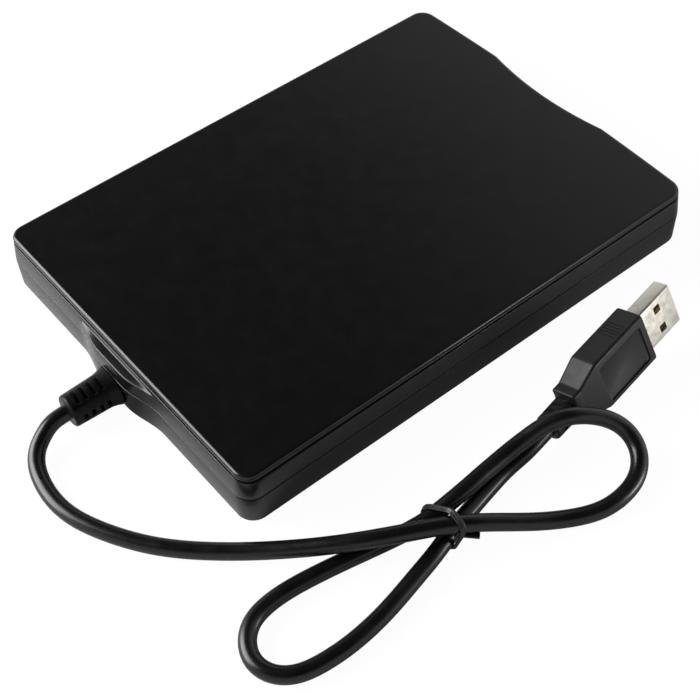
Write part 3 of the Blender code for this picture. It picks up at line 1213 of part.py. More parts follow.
def make_boards():
    """Control board in the mechanism, interface board behind it, and their parts."""
    left, right = control_board_sides()
    rear = CHASSIS_REAR - SHEET - CONTROL_BOARD_REAR
    front = rear - CONTROL_BOARD_LENGTH
    low = BASE_TOP + GAP
    top = low + BOARD_THICKNESS
    finish(block("control_board", (left, front, low), (right, rear, top)), GREEN_BOARD)
    middle = (left + right) / 2
    chip_y = front + CONTROL_CHIP * CHIP_PLACE_SHARE
    half = CONTROL_CHIP / 2
    finish(block("control_chip", (middle - half, chip_y - half, top + GAP),
                 (middle + half, chip_y + half, top + GAP + CHIP_THICKNESS)), CHIP_BLACK)
    ribbon_left, ribbon_right = ribbon_sides()
    socket_low = ribbon_height()
    finish(block("control_socket", (ribbon_left - RIBBON_SOCKET_BORDER, rear - RIBBON_SOCKET_DEPTH,
                                    socket_low),
                 (ribbon_right + RIBBON_SOCKET_BORDER, rear, socket_low + RIBBON_SOCKET_HEIGHT)),
                  WHITE_PLASTIC)

    usb_front = CHASSIS_REAR + USB_BOARD_SIDE_ROOM
    usb_rear = HALF_LENGTH - WALL - USB_BOARD_SIDE_ROOM
    usb_low = FLOOR_TOP + USB_BOARD_RISE
    usb_top = usb_low + BOARD_THICKNESS
    usb_right = usb_board_right()
    finish(block("interface_board", (USB_BOARD_LEFT, usb_front, usb_low), (usb_right, usb_rear, usb_top)),
           GREEN_BOARD)
    seat = usb_top + GAP
    half = USB_CHIP / 2
    chip_x = (USB_BOARD_LEFT + HEADER_LENGTH + ribbon_left - RIBBON_SOCKET_BORDER) / 2
    chip_y = (usb_front + usb_rear) / 2
    finish(block("interface_chip", (chip_x - half, chip_y - half, seat),
                 (chip_x + half, chip_y + half, seat + CHIP_THICKNESS)), CHIP_BLACK)
    finish(block("crystal", (middle - CRYSTAL_LENGTH / 2, usb_rear - CRYSTAL_WIDTH - GAP, seat),
                 (middle + CRYSTAL_LENGTH / 2, usb_rear - GAP, seat + CRYSTAL_HEIGHT)), NICKEL)
    finish(block("interface_socket", (ribbon_left - RIBBON_SOCKET_BORDER, usb_front + GAP, seat),
                 (ribbon_right + RIBBON_SOCKET_BORDER, usb_front + GAP + RIBBON_SOCKET_DEPTH,
                  seat + RIBBON_SOCKET_HEIGHT)), WHITE_PLASTIC)
    finish(block("cable_header", (USB_BOARD_LEFT + GAP, chip_y - HEADER_LENGTH / 2, seat),
                 (USB_BOARD_LEFT + GAP + HEADER_LENGTH, chip_y + HEADER_LENGTH / 2, seat + HEADER_HEIGHT)),
           WHITE_PLASTIC)
    start_z = socket_low + RIBBON_SOCKET_HEIGHT / 2
    end_z = seat + RIBBON_SOCKET_HEIGHT / 2
    start_y = rear + GAP
    end_y = usb_front
    half = RIBBON_SHEET / 2
    rings = []
    for step in range(9):
        share = step / 8
        y = start_y + (end_y - start_y) * share
        z = start_z + (end_z - start_z) * smoothstep(share)
        rings.append([(ribbon_left, y, z - half), (ribbon_left, y, z + half),
                      (ribbon_right, y, z + half), (ribbon_right, y, z - half)])
    finish(loft("ribbon_cable", rings), FLEX_ORANGE)
    collar_front = HALF_LENGTH - WALL - GAP - RELIEF_COLLAR_LENGTH
    header_z = seat + HEADER_HEIGHT / 2
    steer = [(CABLE_X, collar_front - GAP, CABLE_Z),
             (CABLE_X, collar_front - INNER_CABLE_RADIUS, CABLE_Z),
             (CABLE_X, chip_y, CABLE_Z),
             ((CABLE_X + USB_BOARD_LEFT) / 2, chip_y - INNER_CABLE_RADIUS, (CABLE_Z + header_z) / 2),
             (USB_BOARD_LEFT - INNER_CABLE_RADIUS, chip_y, header_z),
             (USB_BOARD_LEFT, chip_y, header_z)]
    finish(tube("inner_cable", spline(steer, INNER_CABLE_RADIUS), INNER_CABLE_RADIUS), CABLE_SKIN)


def relief_face():
    """Where the strain relief's flare meets the swollen rear wall."""
    return HALF_LENGTH + wall_offset(CABLE_Z) + BUMP_HEIGHT + GAP


def relief_end():
    """Where the strain relief ends and the free cord starts."""
    return (relief_face() + RELIEF_FLARE_LENGTH * 2 + RELIEF_SLOTS * RELIEF_PITCH
            + RELIEF_END_LENGTH - RELIEF_PITCH / 2)


def ribbed_boot(start, slots, pitch, body, end_radius, slot_radius, end_length):
    """(distance, radius) pairs of a tapering boot with ring slots."""
    marks = []
    span = slots * pitch - pitch / 2
    for slot in range(slots):
        low = start + slot * pitch
        high = low + pitch / 2
        radius = body + (end_radius - body) * (low - start) / span
        marks += [(low, radius), (low, slot_radius), (high, slot_radius), (high, radius)]
    return marks + [(start + span + end_length, end_radius)]


def make_strain_relief():
    """Moulded rubber relief: inner collar, neck through the wall, flare and ribs."""
    face = relief_face()
    inner = HALF_LENGTH - WALL - GAP
    rings = [(inner - RELIEF_COLLAR_LENGTH, RELIEF_COLLAR_WIDTH, RELIEF_COLLAR_HEIGHT),
             (inner, RELIEF_COLLAR_WIDTH, RELIEF_COLLAR_HEIGHT),
             (inner, RELIEF_NECK_RADIUS, RELIEF_NECK_RADIUS - GAP),
             (face, RELIEF_NECK_RADIUS, RELIEF_NECK_RADIUS - GAP),
             (face, RELIEF_FLARE_WIDTH, RELIEF_FLARE_HEIGHT),
             (face + RELIEF_FLARE_LENGTH, RELIEF_FLARE_WIDTH - GAP, RELIEF_FLARE_HEIGHT - GAP),
             (face + RELIEF_FLARE_LENGTH * 2, RELIEF_BODY_RADIUS, RELIEF_BODY_RADIUS)]
    for distance, radius in ribbed_boot(face + RELIEF_FLARE_LENGTH * 2, RELIEF_SLOTS, RELIEF_PITCH,
                                        RELIEF_BODY_RADIUS - GAP, RELIEF_END_RADIUS, RELIEF_SLOT_RADIUS,
                                        RELIEF_END_LENGTH):
        rings.append((distance, radius, radius))
    boot = loft("strain_relief", [oval_ring(y, wide, high, CABLE_X, CABLE_Z) for y, wide, high in rings])
    finish(boot, RUBBER)


def plug_boot_end():
    """Distance behind the plug's front face at which its boot ends."""
    return NECK_START + NECK_LENGTH + BOOT_SLOTS * BOOT_PITCH - BOOT_PITCH / 2 + BOOT_PITCH


def plug_turn():
    """Rotation of the plug: its own +Y is the way it is pushed in."""
    heading = Matrix.Rotation(math.radians(PLUG_HEADING), 3, "Z")
    pitch = Matrix.Rotation(math.radians(PLUG_PITCH), 3, "X")
    roll = Matrix.Rotation(math.radians(PLUG_ROLL), 3, "Y")
    return heading @ pitch @ roll


def plug_place():
    """Where the middle of the plug's front face is, with a corner on the table."""
    turn = plug_turn()
    lowest = 0.0
    for across in (-GRIP_WIDTH / 2, GRIP_WIDTH / 2):
        for back in (0.0, -GRIP_LENGTH):
            for up in (-GRIP_HEIGHT / 2, GRIP_HEIGHT / 2):
                lowest = min(lowest, (turn @ Vector((across, back, up))).z)
    return Vector((PLUG_X, PLUG_Y, PLUG_TABLE_ROOM - lowest - GRIP_ROUND / 3))


def rounded_ring(y, width, height, radius, steps=3):
    """A rounded rectangle across the Y axis at y."""
    radius = min(radius, width / 2, height / 2)
    ring = []
    for sign_x, sign_z, start in ((1, -1, 0), (-1, -1, 90), (-1, 1, 180), (1, 1, 270)):
        for step in range(steps + 1):
            angle = math.radians(start + 90 * step / steps)
            ring.append((sign_x * (width / 2 - radius) + radius * math.cos(angle), y,
                         sign_z * (height / 2 - radius) - radius * math.sin(angle)))
    return ring


def make_plug():
    """Moulded grip with its boot, metal shell, tongue and four contacts."""
    holder = empty("plug_datum", plug_place(), datum)
    holder.rotation_euler = plug_turn().to_euler()

    def in_plug(thing, look):
        """Put a piece in the plug's own frame."""
        finish(thing, look)
        thing.parent = holder
        return thing

    def tool_in_plug(thing):
        """Put a cutter in the plug's own frame."""
        thing.parent = holder
        return thing

    rings = [rounded_ring(0.0, GRIP_WIDTH - GRIP_ROUND, GRIP_HEIGHT - GRIP_ROUND, GRIP_ROUND),
             rounded_ring(-GRIP_ROUND / 2, GRIP_WIDTH, GRIP_HEIGHT, GRIP_ROUND),
             rounded_ring(-GRIP_LENGTH, GRIP_WIDTH, GRIP_HEIGHT, GRIP_ROUND),
             rounded_ring(-(GRIP_LENGTH + NECK_START) / 2, (GRIP_WIDTH + NECK_WIDTH) / 2, NECK_HEIGHT,
                          GRIP_ROUND),
             rounded_ring(-NECK_START, NECK_WIDTH, NECK_HEIGHT, GRIP_ROUND),
             rounded_ring(-NECK_START - NECK_LENGTH, NECK_WIDTH, NECK_HEIGHT, GRIP_ROUND)]
    boot = ribbed_boot(NECK_START + NECK_LENGTH, BOOT_SLOTS, BOOT_PITCH, BOOT_RADIUS, BOOT_END_RADIUS,
                       BOOT_SLOT_RADIUS, BOOT_PITCH)
    rings += [rounded_ring(-distance, radius * 2, radius * 2, radius) for distance, radius in boot]
    grip = loft("plug_grip", rings[::-1])
    room = GAP
    cut(grip, tool_in_plug(block("shell_seat", (-SHELL_WIDTH / 2 - room, -SHELL_SEAT - room,
                                                -SHELL_HEIGHT / 2 - room),
                                 (SHELL_WIDTH / 2 + room, OVERRUN, SHELL_HEIGHT / 2 + room))))
    in_plug(grip, BLACK_TRIM)
    shell = loft("plug_shell", [rounded_ring(-SHELL_SEAT, SHELL_WIDTH, SHELL_HEIGHT, SHELL_ROUND),
                                rounded_ring(SHELL_REACH, SHELL_WIDTH, SHELL_HEIGHT, SHELL_ROUND)][::-1])
    inner_width = SHELL_WIDTH - SHELL_WALL * 2
    inner_height = SHELL_HEIGHT - SHELL_WALL * 2
    cut(shell, tool_in_plug(block("shell_bore", (-inner_width / 2, -SHELL_SEAT - OVERRUN, -inner_height / 2),
                                  (inner_width / 2, SHELL_REACH + OVERRUN, inner_height / 2))))
    for side, sign in (("left", -1), ("right", 1)):
        x = sign * SHELL_HOLE_SPACING / 2
        y = SHELL_REACH - SHELL_HOLE_FROM_TIP
        half = SHELL_HOLE / 2
        cut(shell, tool_in_plug(block("shell_hole_" + side, (x - half, y - half, -SHELL_HEIGHT),
                                      (x + half, y + half, SHELL_HEIGHT))))
    in_plug(shell, NICKEL)
    tongue_low = -inner_height / 2 + GAP
    tongue_top = tongue_low + TONGUE_HEIGHT
    tip = SHELL_REACH - TONGUE_TIP_ROOM
    in_plug(block("plug_tongue", (-inner_width / 2 + GAP, -SHELL_SEAT + GAP, tongue_low),
                  (inner_width / 2 - GAP, tip, tongue_top)), WHITE_PLASTIC)
    for index in range(CONTACTS):
        x = CONTACT_SPACING * (index - (CONTACTS - 1) / 2)
        in_plug(block("plug_contact_%d" % (index + 1),
                      (x - CONTACT_WIDTH / 2, tip - TONGUE_TIP_ROOM - CONTACT_LENGTH, tongue_top + GAP),
                      (x + CONTACT_WIDTH / 2, tip - TONGUE_TIP_ROOM, tongue_top + GAP + CONTACT_SHEET)), GOLD)


def cord_steer():
    """The cord's steering points, with both ends led straight out of their boots."""
    start = Vector((CABLE_X, relief_end() + GAP, CABLE_Z))
    lead = CORD_RADIUS * 2
    backward = plug_turn() @ Vector((0, -1, 0))
    end = plug_place() + backward * (plug_boot_end() + GAP)
    points = [start, start + Vector((0, lead, 0))]
    points += [Vector(point) for point in CORD_ROUTE]
    points += [end + backward * lead * 2, end + backward * lead, end]
    return [tuple(point) for point in points]


def make_cord():
    """The free cord, from the case's strain relief to the plug's boot."""
    steer = cord_steer()
    fine = spline(steer, CORD_SPLINE_SPACING)
    apart = int(round(CORD_RADIUS * 8 / CORD_SPLINE_SPACING))
    least = min(np.linalg.norm(fine[index + apart:] - point, axis=1).min()
                for index, point in enumerate(fine[:-apart]))
    length = np.linalg.norm(np.diff(fine, axis=0), axis=1).sum()
    print("cord length %.4f m, least gap to itself %.5f m" % (length, least - 2 * CORD_RADIUS))
    finish(tube("cord", spline(steer, CORD_STEP), CORD_RADIUS), CABLE_SKIN)
    return fine


def make_tie(fine):
    """Flat strip wound round the three strands where they cross."""
    near = (TIE_WIDTH + CORD_RADIUS) / 2
    centres = [(x, z) for x, y, z in fine if abs(y - TIE_Y) < near and x < -HALF_WIDTH]
    rings = []
    inner = CORD_RADIUS + TIE_ROOM
    for radius, y in ((inner, -TIE_WIDTH / 2), (inner + TIE_SHEET, -TIE_WIDTH / 2),
                      (inner + TIE_SHEET, TIE_WIDTH / 2), (inner, TIE_WIDTH / 2)):
        ring = []
        for step in range(TIE_POINTS):
            angle = 2 * math.pi * step / TIE_POINTS
            across, up = math.cos(angle), math.sin(angle)
            x, z = max(centres, key=lambda centre: centre[0] * across + centre[1] * up)
            ring.append((x + radius * across, TIE_Y + y, z + radius * up))
        rings.append(ring)
    builder = bmesh.new()
    rows = [[builder.verts.new(point) for point in ring] for ring in rings]
    for lower, upper in zip(rows, rows[1:] + rows[:1]):
        for index in range(TIE_POINTS):
            after = (index + 1) % TIE_POINTS
            builder.faces.new((lower[index], lower[after], upper[after], upper[index]))
    finish(add("cord_tie", mesh_from(builder, "cord_tie")), BLACK_TRIM)


make_top_cover()
make_bottom_cover()
make_front_bezel()
make_lens_and_led()
make_feet_and_screws()
make_dust_door()
make_chassis()
make_eject_slide()
make_carrier()
make_spindle()
make_head_drive()
make_carriage()
make_lever()
make_boards()
make_strain_relief()
make_plug()
make_tie(make_cord())
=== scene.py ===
"""A slim external floppy disk drive on a white table, seen from behind its left side.

Lengths are in metres and angles in degrees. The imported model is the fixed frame: +Z
is up, the disk slot faces -Y and the cable leaves at +Y. Each piece is a skin that
numpy works out on a grid, laid exactly where its solid is.
"""

import math

import bmesh
import bpy
import numpy as np
from mathutils import Matrix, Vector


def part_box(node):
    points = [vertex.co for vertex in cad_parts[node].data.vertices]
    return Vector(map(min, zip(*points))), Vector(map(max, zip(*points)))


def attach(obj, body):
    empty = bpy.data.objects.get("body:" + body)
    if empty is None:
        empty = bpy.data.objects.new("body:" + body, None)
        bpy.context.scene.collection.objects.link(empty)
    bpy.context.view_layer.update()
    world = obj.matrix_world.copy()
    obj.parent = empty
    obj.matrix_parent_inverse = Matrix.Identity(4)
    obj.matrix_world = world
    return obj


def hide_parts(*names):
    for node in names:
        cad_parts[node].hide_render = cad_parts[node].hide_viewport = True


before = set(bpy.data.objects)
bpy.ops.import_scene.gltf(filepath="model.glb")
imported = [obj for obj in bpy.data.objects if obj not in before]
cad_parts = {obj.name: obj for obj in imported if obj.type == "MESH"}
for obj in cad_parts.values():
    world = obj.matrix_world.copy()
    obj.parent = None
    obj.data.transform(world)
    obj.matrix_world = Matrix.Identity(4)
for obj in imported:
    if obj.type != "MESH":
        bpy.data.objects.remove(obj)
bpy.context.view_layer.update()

scene = bpy.context.scene
scene.view_settings.view_transform = "Standard"

# Camera: a long lens on a stand behind the drive's left side, tipped a little to the
# left. It was fitted to the case's rim, its parting line and the plug.
CAMERA_PLACE = (-0.20907, 0.157754, 0.27306)
CAMERA_AZIMUTH = 233.10
CAMERA_ELEVATION = 49.87
CAMERA_ROLL = 2.99
CAMERA_LENS = 72.57


def standing_matrix(axes, place):
    """Matrix that turns an object's own axes to the three given ones and moves it."""
    rows = np.column_stack([*axes, place]).tolist()
    return Matrix(rows + [[0, 0, 0, 1]])


azimuth, elevation, roll = np.radians((CAMERA_AZIMUTH, CAMERA_ELEVATION, CAMERA_ROLL))
backward = np.array([math.sin(azimuth) * math.cos(elevation),
                     -math.cos(azimuth) * math.cos(elevation),
                     math.sin(elevation)])
level_right = np.cross(-backward, (0, 0, 1))
level_right /= np.linalg.norm(level_right)
level_down = np.cross(-backward, level_right)
picture_right = math.cos(roll) * level_right + math.sin(roll) * level_down
picture_down = -math.sin(roll) * level_right + math.cos(roll) * level_down
camera_data = bpy.data.cameras.new("camera")
camera_data.lens = CAMERA_LENS
camera_data.sensor_width = 36.0
camera_data.clip_start = 0.01
camera_data.clip_end = 10.0
camera = bpy.data.objects.new("camera", camera_data)
camera.matrix_world = standing_matrix((picture_right, -picture_down, backward), CAMERA_PLACE)
scene.collection.objects.link(camera)
scene.camera = camera

# Cord: round black cable of limp PVC, drawn through a die, which gives it a smooth
# satin skin with faint lengthwise streaks. It runs from the case's strain relief,
# folds back twice beside the drive and ends in the plug.
CORD_RADIUS = 0.0021
CORD_START = (0.0006, 0.087234, 0.0056)
CORD_SPACING = 0.001
CORD_SIDES = 32
CORD_COLOUR = (0.0035, 0.0035, 0.0037)
MIDDLE_Y = -0.000576
PLUG_PLACE = (-0.07365, -0.0311, 0.010725)
PLUG_TURN = (-172.9, 9.0, 68.7)
PLUG_BACK = 0.035
CORD_ROUTE = (
    (-0.0006, 0.0948, 0.0043),
    (-0.0023, 0.0979, 0.0031),
    (-0.0053, 0.1001, 0.0023),
    (-0.0095, 0.1015, 0.00215),
    (-0.0157, 0.1024, 0.00215),
    (-0.0234, 0.1017, 0.00215),
    (-0.0327, 0.0977, 0.00215),
    (-0.0421, 0.0919, 0.00215),
    (-0.0499, 0.0847, 0.0022),
    (-0.0578, 0.0763, 0.0029),
    (-0.0658, 0.0675, 0.0048),
    (-0.0719, 0.0607, 0.0071),
    (-0.0756, 0.0555, 0.0081),
    (-0.0794, 0.0488, 0.0083),
    (-0.0840, 0.0397, 0.0083),
    (-0.0877, 0.0331, 0.0069),
    (-0.0911, 0.0272, 0.0050),
    (-0.0943, 0.0214, 0.0031),
    (-0.0975, 0.0156, 0.0022),
    (-0.1003, 0.0101, 0.00215),
    (-0.1014, 0.0052, 0.0022),
    (-0.1013, 0.0004, 0.0024),
    (-0.1004, -0.0037, 0.0028),
    (-0.0984, -0.0071, 0.0036),
    (-0.0955, -0.0094, 0.0047),
    (-0.0921, -0.0102, 0.0062),
    (-0.0888, -0.0092, 0.0081),
    (-0.0859, -0.0064, 0.0101),
    (-0.0835, -0.0024, 0.0119),
    (-0.0815, 0.0018, 0.0127),
    (-0.0796, 0.0058, 0.0114),
    (-0.0786, 0.0100, 0.0095),
    (-0.0779, 0.0146, 0.0078),
    (-0.0779, 0.0195, 0.0070),
    (-0.0782, 0.0245, 0.0068),
    (-0.0785, 0.0290, 0.0064),
    (-0.0784, 0.0334, 0.0055),
    (-0.0781, 0.0375, 0.0043),
    (-0.0777, 0.0418, 0.0034),
    (-0.0766, 0.0468, 0.0027),
    (-0.0750, 0.0534, 0.0022),
    (-0.0728, 0.0632, 0.00215),
    (-0.0708, 0.0748, 0.00215),
    (-0.0709, 0.0820, 0.00215),
    (-0.0723, 0.0867, 0.00215),
    (-0.0758, 0.0903, 0.00215),
    (-0.0806, 0.0918, 0.00215),
    (-0.0852, 0.0903, 0.00215),
    (-0.0883, 0.0867, 0.00215),
    (-0.0897, 0.0819, 0.00215),
    (-0.0903, 0.0750, 0.00215),
    (-0.0900, 0.0680, 0.00215),
    (-0.0888, 0.0600, 0.0022),
    (-0.0870, 0.0520, 0.0026),
    (-0.0856, 0.0450, 0.0030),
    (-0.0835, 0.0385, 0.0031),
    (-0.0821, 0.0328, 0.0027),
    (-0.0806, 0.0272, 0.0022),
    (-0.0794, 0.0215, 0.00215),
    (-0.0785, 0.0165, 0.0024),
)


def turned_about(axis, degrees):
    """Rotation matrix about one axis: the two other axes turn as cosine and sine."""
    cosine, sine = math.cos(math.radians(degrees)), math.sin(math.radians(degrees))
    first, second = (axis + 1) % 3, (axis + 2) % 3
    turn = np.eye(3)
    turn[first, first] = turn[second, second] = cosine
    turn[first, second], turn[second, first] = -sine, sine
    return turn


plug_turn = (turned_about(2, PLUG_TURN[0]) @ turned_about(0, PLUG_TURN[1])
             @ turned_about(1, PLUG_TURN[2]))
plug_place = np.array(PLUG_PLACE) + (0, MIDDLE_Y, 0)


def laid_line(steer, spacing):
    """Even points on the smooth line that the steering points draw.

    It is a cubic B-spline: between two steering points, the place is the sum of four
    neighbours weighed by the cubic B-spline weights. Both end points are mirrored
    outwards, so the line starts and ends on them.
    """
    steer = np.vstack([2 * steer[0] - steer[1], steer, 2 * steer[-1] - steer[-2]])
    share = np.linspace(0, 1, 12, endpoint=False)
    weights = np.array([(1 - share) ** 3, 3 * share ** 3 - 6 * share ** 2 + 4,
                        -3 * share ** 3 + 3 * share ** 2 + 3 * share + 1, share ** 3]) / 6
    windows = np.lib.stride_tricks.sliding_window_view(steer, 4, axis=0)
    dense = np.einsum("kt,nck->ntc", weights, windows).reshape(-1, 3)
    dense = np.vstack([dense, steer[-2]])
    along = np.concatenate([[0], np.cumsum(np.linalg.norm(np.diff(dense, axis=0), axis=1))])
    even = np.linspace(0, along[-1], max(4, int(round(along[-1] / spacing)) + 1))
    return np.column_stack([np.interp(even, along, dense[:, axis]) for axis in range(3)])


def skin_over(rings, loop=False):
    """Points and faces of a skin stretched over a stack of rings.

    Each point joins its neighbour round the ring and the same point of the next ring,
    which gives one four-sided face. A loop joins the last ring to the first one, and
    otherwise one flat face closes each end.
    """
    rows, around = rings.shape[:2]
    here = np.arange(rows * around).reshape(rows, around)
    beside = np.roll(here, -1, axis=1)
    quads = np.stack([here, beside, np.roll(beside, -1, axis=0), np.roll(here, -1, axis=0)],
                     axis=-1)
    quads = quads if loop else quads[:-1]
    faces = quads.reshape(-1, 4).tolist()
    if not loop:
        faces += [here[0, ::-1].tolist(), here[-1].tolist()]
    return rings.reshape(-1, 3), faces


def shade_by_angle(mesh, degrees=32.0):
    """Soft shading, broken at edges that fold by more than the angle."""
    mesh.shade_smooth()
    mesh.set_sharp_from_angle(angle=math.radians(degrees))


def make_piece(name, *skins):
    """A mesh object from one or more closed skins, its faces turned outwards."""
    points, faces, start = [], [], 0
    for skin_points, skin_faces in skins:
        points.append(skin_points)
        faces += [[index + start for index in face] for face in skin_faces]
        start += len(skin_points)
    mesh = bpy.data.meshes.new(name)
    mesh.from_pydata(np.vstack(points).tolist(), [], faces)
    builder = bmesh.new()
    builder.from_mesh(mesh)
    bmesh.ops.recalc_face_normals(builder, faces=builder.faces)
    builder.to_mesh(mesh)
    builder.free()
    shade_by_angle(mesh)
    piece = bpy.data.objects.new(name, mesh)
    scene.collection.objects.link(piece)
    return piece


def settle(piece, finish, body, slot, *nodes):
    """Give a piece its finish and its body, and hide the solids that it stands for. The slot is not used.
    """
    piece.data.materials.clear()
    piece.data.materials.append(finish)
    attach(piece, body)
    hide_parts(*nodes)
    return piece


class Finish:
    """A material's node tree, with short ways to add what the finishes here need."""

    def __init__(self, name, colour, roughness, metallic=0.0, specular=0.5, place="Object"):
        self.material = bpy.data.materials.new(name)
        self.material.use_nodes = True
        self.material.diffuse_color = (*colour, 1.0)
        self.tree = self.material.node_tree
        self.shader = self.tree.nodes["Principled BSDF"]
        self.shader.inputs["Metallic"].default_value = metallic
        self.shader.inputs["Specular IOR Level"].default_value = specular
        self.shader.inputs["Base Color"].default_value = (*colour, 1.0)
        self.shader.inputs["Roughness"].default_value = roughness
        self.colour, self.roughness = colour, roughness
        if place == "Object":
            self.place = self.tree.nodes.new("ShaderNodeTexCoord").outputs["Object"]
        else:
            attribute = self.tree.nodes.new("ShaderNodeAttribute")
            attribute.attribute_name = place
            self.place = attribute.outputs["Vector"]

    def node(self, kind, **inputs):
        """A new node with values or links on its inputs."""
        made = self.tree.nodes.new(kind)
        for name, value in inputs.items():
            socket = made.inputs[name.replace("_", " ")]
            if isinstance(value, bpy.types.NodeSocket):
                self.tree.links.new(value, socket)
            else:
                socket.default_value = value
        return made

    def stretched(self, scale, turn=(0, 0, 0)):
        """Coordinates scaled by three numbers, for grain that runs one way."""
        mapping = self.node("ShaderNodeMapping", Vector=self.place, Scale=scale, Rotation=turn)
        return mapping.outputs["Vector"]

    def noise(self, size, detail=2.0, scale=(1, 1, 1), rough=0.55):
        """Cloudy noise whose patches are about size metres wide, from 0 to 1."""
        vector = self.place if scale == (1, 1, 1) else self.stretched(scale)
        made = self.node("ShaderNodeTexNoise", Vector=vector, Scale=1.0 / size, Detail=detail,
                         Roughness=rough)
        return made.outputs["Fac"]

    def spread(self, fac, low, high, start=0.3, end=0.7):
        """Map a socket's span from start to end onto low to high, held at both ends."""
        made = self.node("ShaderNodeMapRange", Value=fac, From_Min=start, From_Max=end,
                         To_Min=low, To_Max=high)
        return made.outputs["Result"]

    def tint(self, fac, other, start=0.35, end=0.65):
        """Blend the base colour so far towards another colour where fac is high."""
        ramp = self.node("ShaderNodeMix")
        ramp.data_type = "RGBA"
        held = self.spread(fac, 0.0, 1.0, start, end)
        self.tree.links.new(held, ramp.inputs[0])
        current = self.shader.inputs["Base Color"]
        if current.links:
            self.tree.links.new(current.links[0].from_socket, ramp.inputs[6])
        else:
            ramp.inputs[6].default_value = (*self.colour, 1.0)
        ramp.inputs[7].default_value = (*other, 1.0)
        self.tree.links.new(ramp.outputs[2], current)

    def vary_roughness(self, fac, amount):
        """Roughness that wanders round its set value."""
        self.tree.links.new(self.spread(fac, self.roughness - amount, self.roughness + amount),
                            self.shader.inputs["Roughness"])

    def relief(self, fac, depth, strength=1.0):
        """Fine height in metres on the surface, from a socket of 0 to 1."""
        bump = self.node("ShaderNodeBump", Height=fac, Distance=depth, Strength=strength)
        before = self.shader.inputs["Normal"]
        if before.links:
            self.tree.links.new(before.links[0].from_socket, bump.inputs["Normal"])
        self.tree.links.new(bump.outputs["Normal"], before)


def clouded(name, colour, roughness, gloss, mottle, grain=None, **more):
    """A finish whose gloss, colour and height each follow a cloudy noise of their own.

    Gloss is (patch size, detail, amount), mottle is (patch size, detail, other colour,
    and where its blend starts and ends), and grain is (patch size, detail, depth).
    """
    made = Finish(name, colour, roughness, **more)
    made.vary_roughness(made.noise(*gloss[:2]), gloss[2])
    made.tint(made.noise(*mottle[:2]), *mottle[2:])
    if grain:
        made.relief(made.noise(*grain[:2]), grain[2])
    return made


def tube_rings(line, radius, sides):
    """Rings of a round tube along a line.

    At each point, the tangent's cross product with the vertical gives the side way,
    and side times tangent gives the upper way. A ring point is the line's point plus
    radius times (cosine of its angle sideways plus sine of its angle upwards).
    """
    tangent = np.gradient(line, axis=0)
    tangent /= np.linalg.norm(tangent, axis=1)[:, None]
    side = np.cross(tangent, (0, 0, 1))
    side /= np.linalg.norm(side, axis=1)[:, None]
    upper = np.cross(side, tangent)
    angle = np.linspace(0, 2 * math.pi, sides, endpoint=False)
    return (line[:, None] + radius * (np.cos(angle)[None, :, None] * side[:, None]
                                      + np.sin(angle)[None, :, None] * upper[:, None]))


plug_backward = plug_turn @ np.array([0.0, -1.0, 0.0])
cord_end = plug_place + plug_backward * PLUG_BACK - (0, MIDDLE_Y, 0)
lead = CORD_RADIUS * 2
cord_steer = np.vstack([CORD_START, np.array(CORD_START) + (0, lead, 0), CORD_ROUTE,
                        cord_end + plug_backward * lead * 2, cord_end + plug_backward * lead,
                        cord_end])
cord_line = laid_line(cord_steer + (0, MIDDLE_Y, 0), CORD_SPACING)
cord_skin = tube_rings(cord_line, CORD_RADIUS, CORD_SIDES)
cord = make_piece("free_cord", skin_over(cord_skin))
along = np.repeat(np.arange(len(cord_line)) * CORD_SPACING, CORD_SIDES)
around = np.tile(np.linspace(0, 2 * math.pi, CORD_SIDES, endpoint=False), len(cord_line))
on_skin = np.column_stack([np.cos(around) * CORD_RADIUS, np.sin(around) * CORD_RADIUS, along])
skin_place = cord.data.attributes.new("skin_place", "FLOAT_VECTOR", "POINT")
skin_place.data.foreach_set("vector", on_skin.astype(np.float32).ravel())

cable_skin = Finish("cable_skin", CORD_COLOUR, 0.29, specular=0.5, place="skin_place")
streaks = cable_skin.noise(0.0005, 3.0, scale=(1, 1, 0.04))
cable_skin.vary_roughness(cable_skin.noise(0.004, 3.0), 0.05)
cable_skin.tint(streaks, (0.006, 0.006, 0.0063))
cable_skin.relief(streaks, 0.00001)
cable_skin.relief(cable_skin.noise(0.006, 1.0, scale=(1, 1, 0.5)), 0.00012)
settle(cord, cable_skin.material, "case", "cable_black", "cord")

# Tie: a black plastic-coated wire ribbon, wound once round three strands of the cord
# where they cross, with a short blunt tail. It is bent by hand and lies loosely.
TIE_Y = 0.0391
TIE_REACH = 0.00205
TIE_BAND = (0.0008, 0.00026)
TIE_RIDGE = 0.0003
TIE_LEAN = 0.2
TIE_TAIL = 0.0046
CASE_SIDE = 0.0515


def band_rings(centres, middle_y, radius, band):
    """Rings of a ribbon drawn tight round several strands.

    In each of 120 directions, the ribbon lies at its radius from the strand that
    reaches furthest that way. Its section is a flat oval: half its width times a
    cosine along the strands and half its thickness times a sine outwards. The wire in
    its middle raises it by a bell curve of the place across. The ribbon leans along Y in
    proportion to its height.
    """
    turn = np.linspace(0, 2 * math.pi, 120, endpoint=False)
    out = np.column_stack([np.cos(turn), np.sin(turn)])
    held = centres[np.argmax(centres @ out.T, axis=0)]
    section = np.linspace(0, 2 * math.pi, 28, endpoint=False)
    across_band = np.sign(np.cos(section)) * np.abs(np.cos(section)) ** 0.7
    reach = radius + band[1] * np.sign(np.sin(section)) * np.abs(np.sin(section)) ** 0.7
    reach += np.where(np.sin(section) > 0, TIE_RIDGE * np.exp(-(across_band / 0.38) ** 2), 0)
    across = held[:, None] + out[:, None] * reach[None, :, None]
    y = middle_y - TIE_LEAN * (across[..., 1] - centres[:, 1].mean()) + band[0] * across_band
    return np.stack([across[..., 0], y, across[..., 1]], axis=-1)


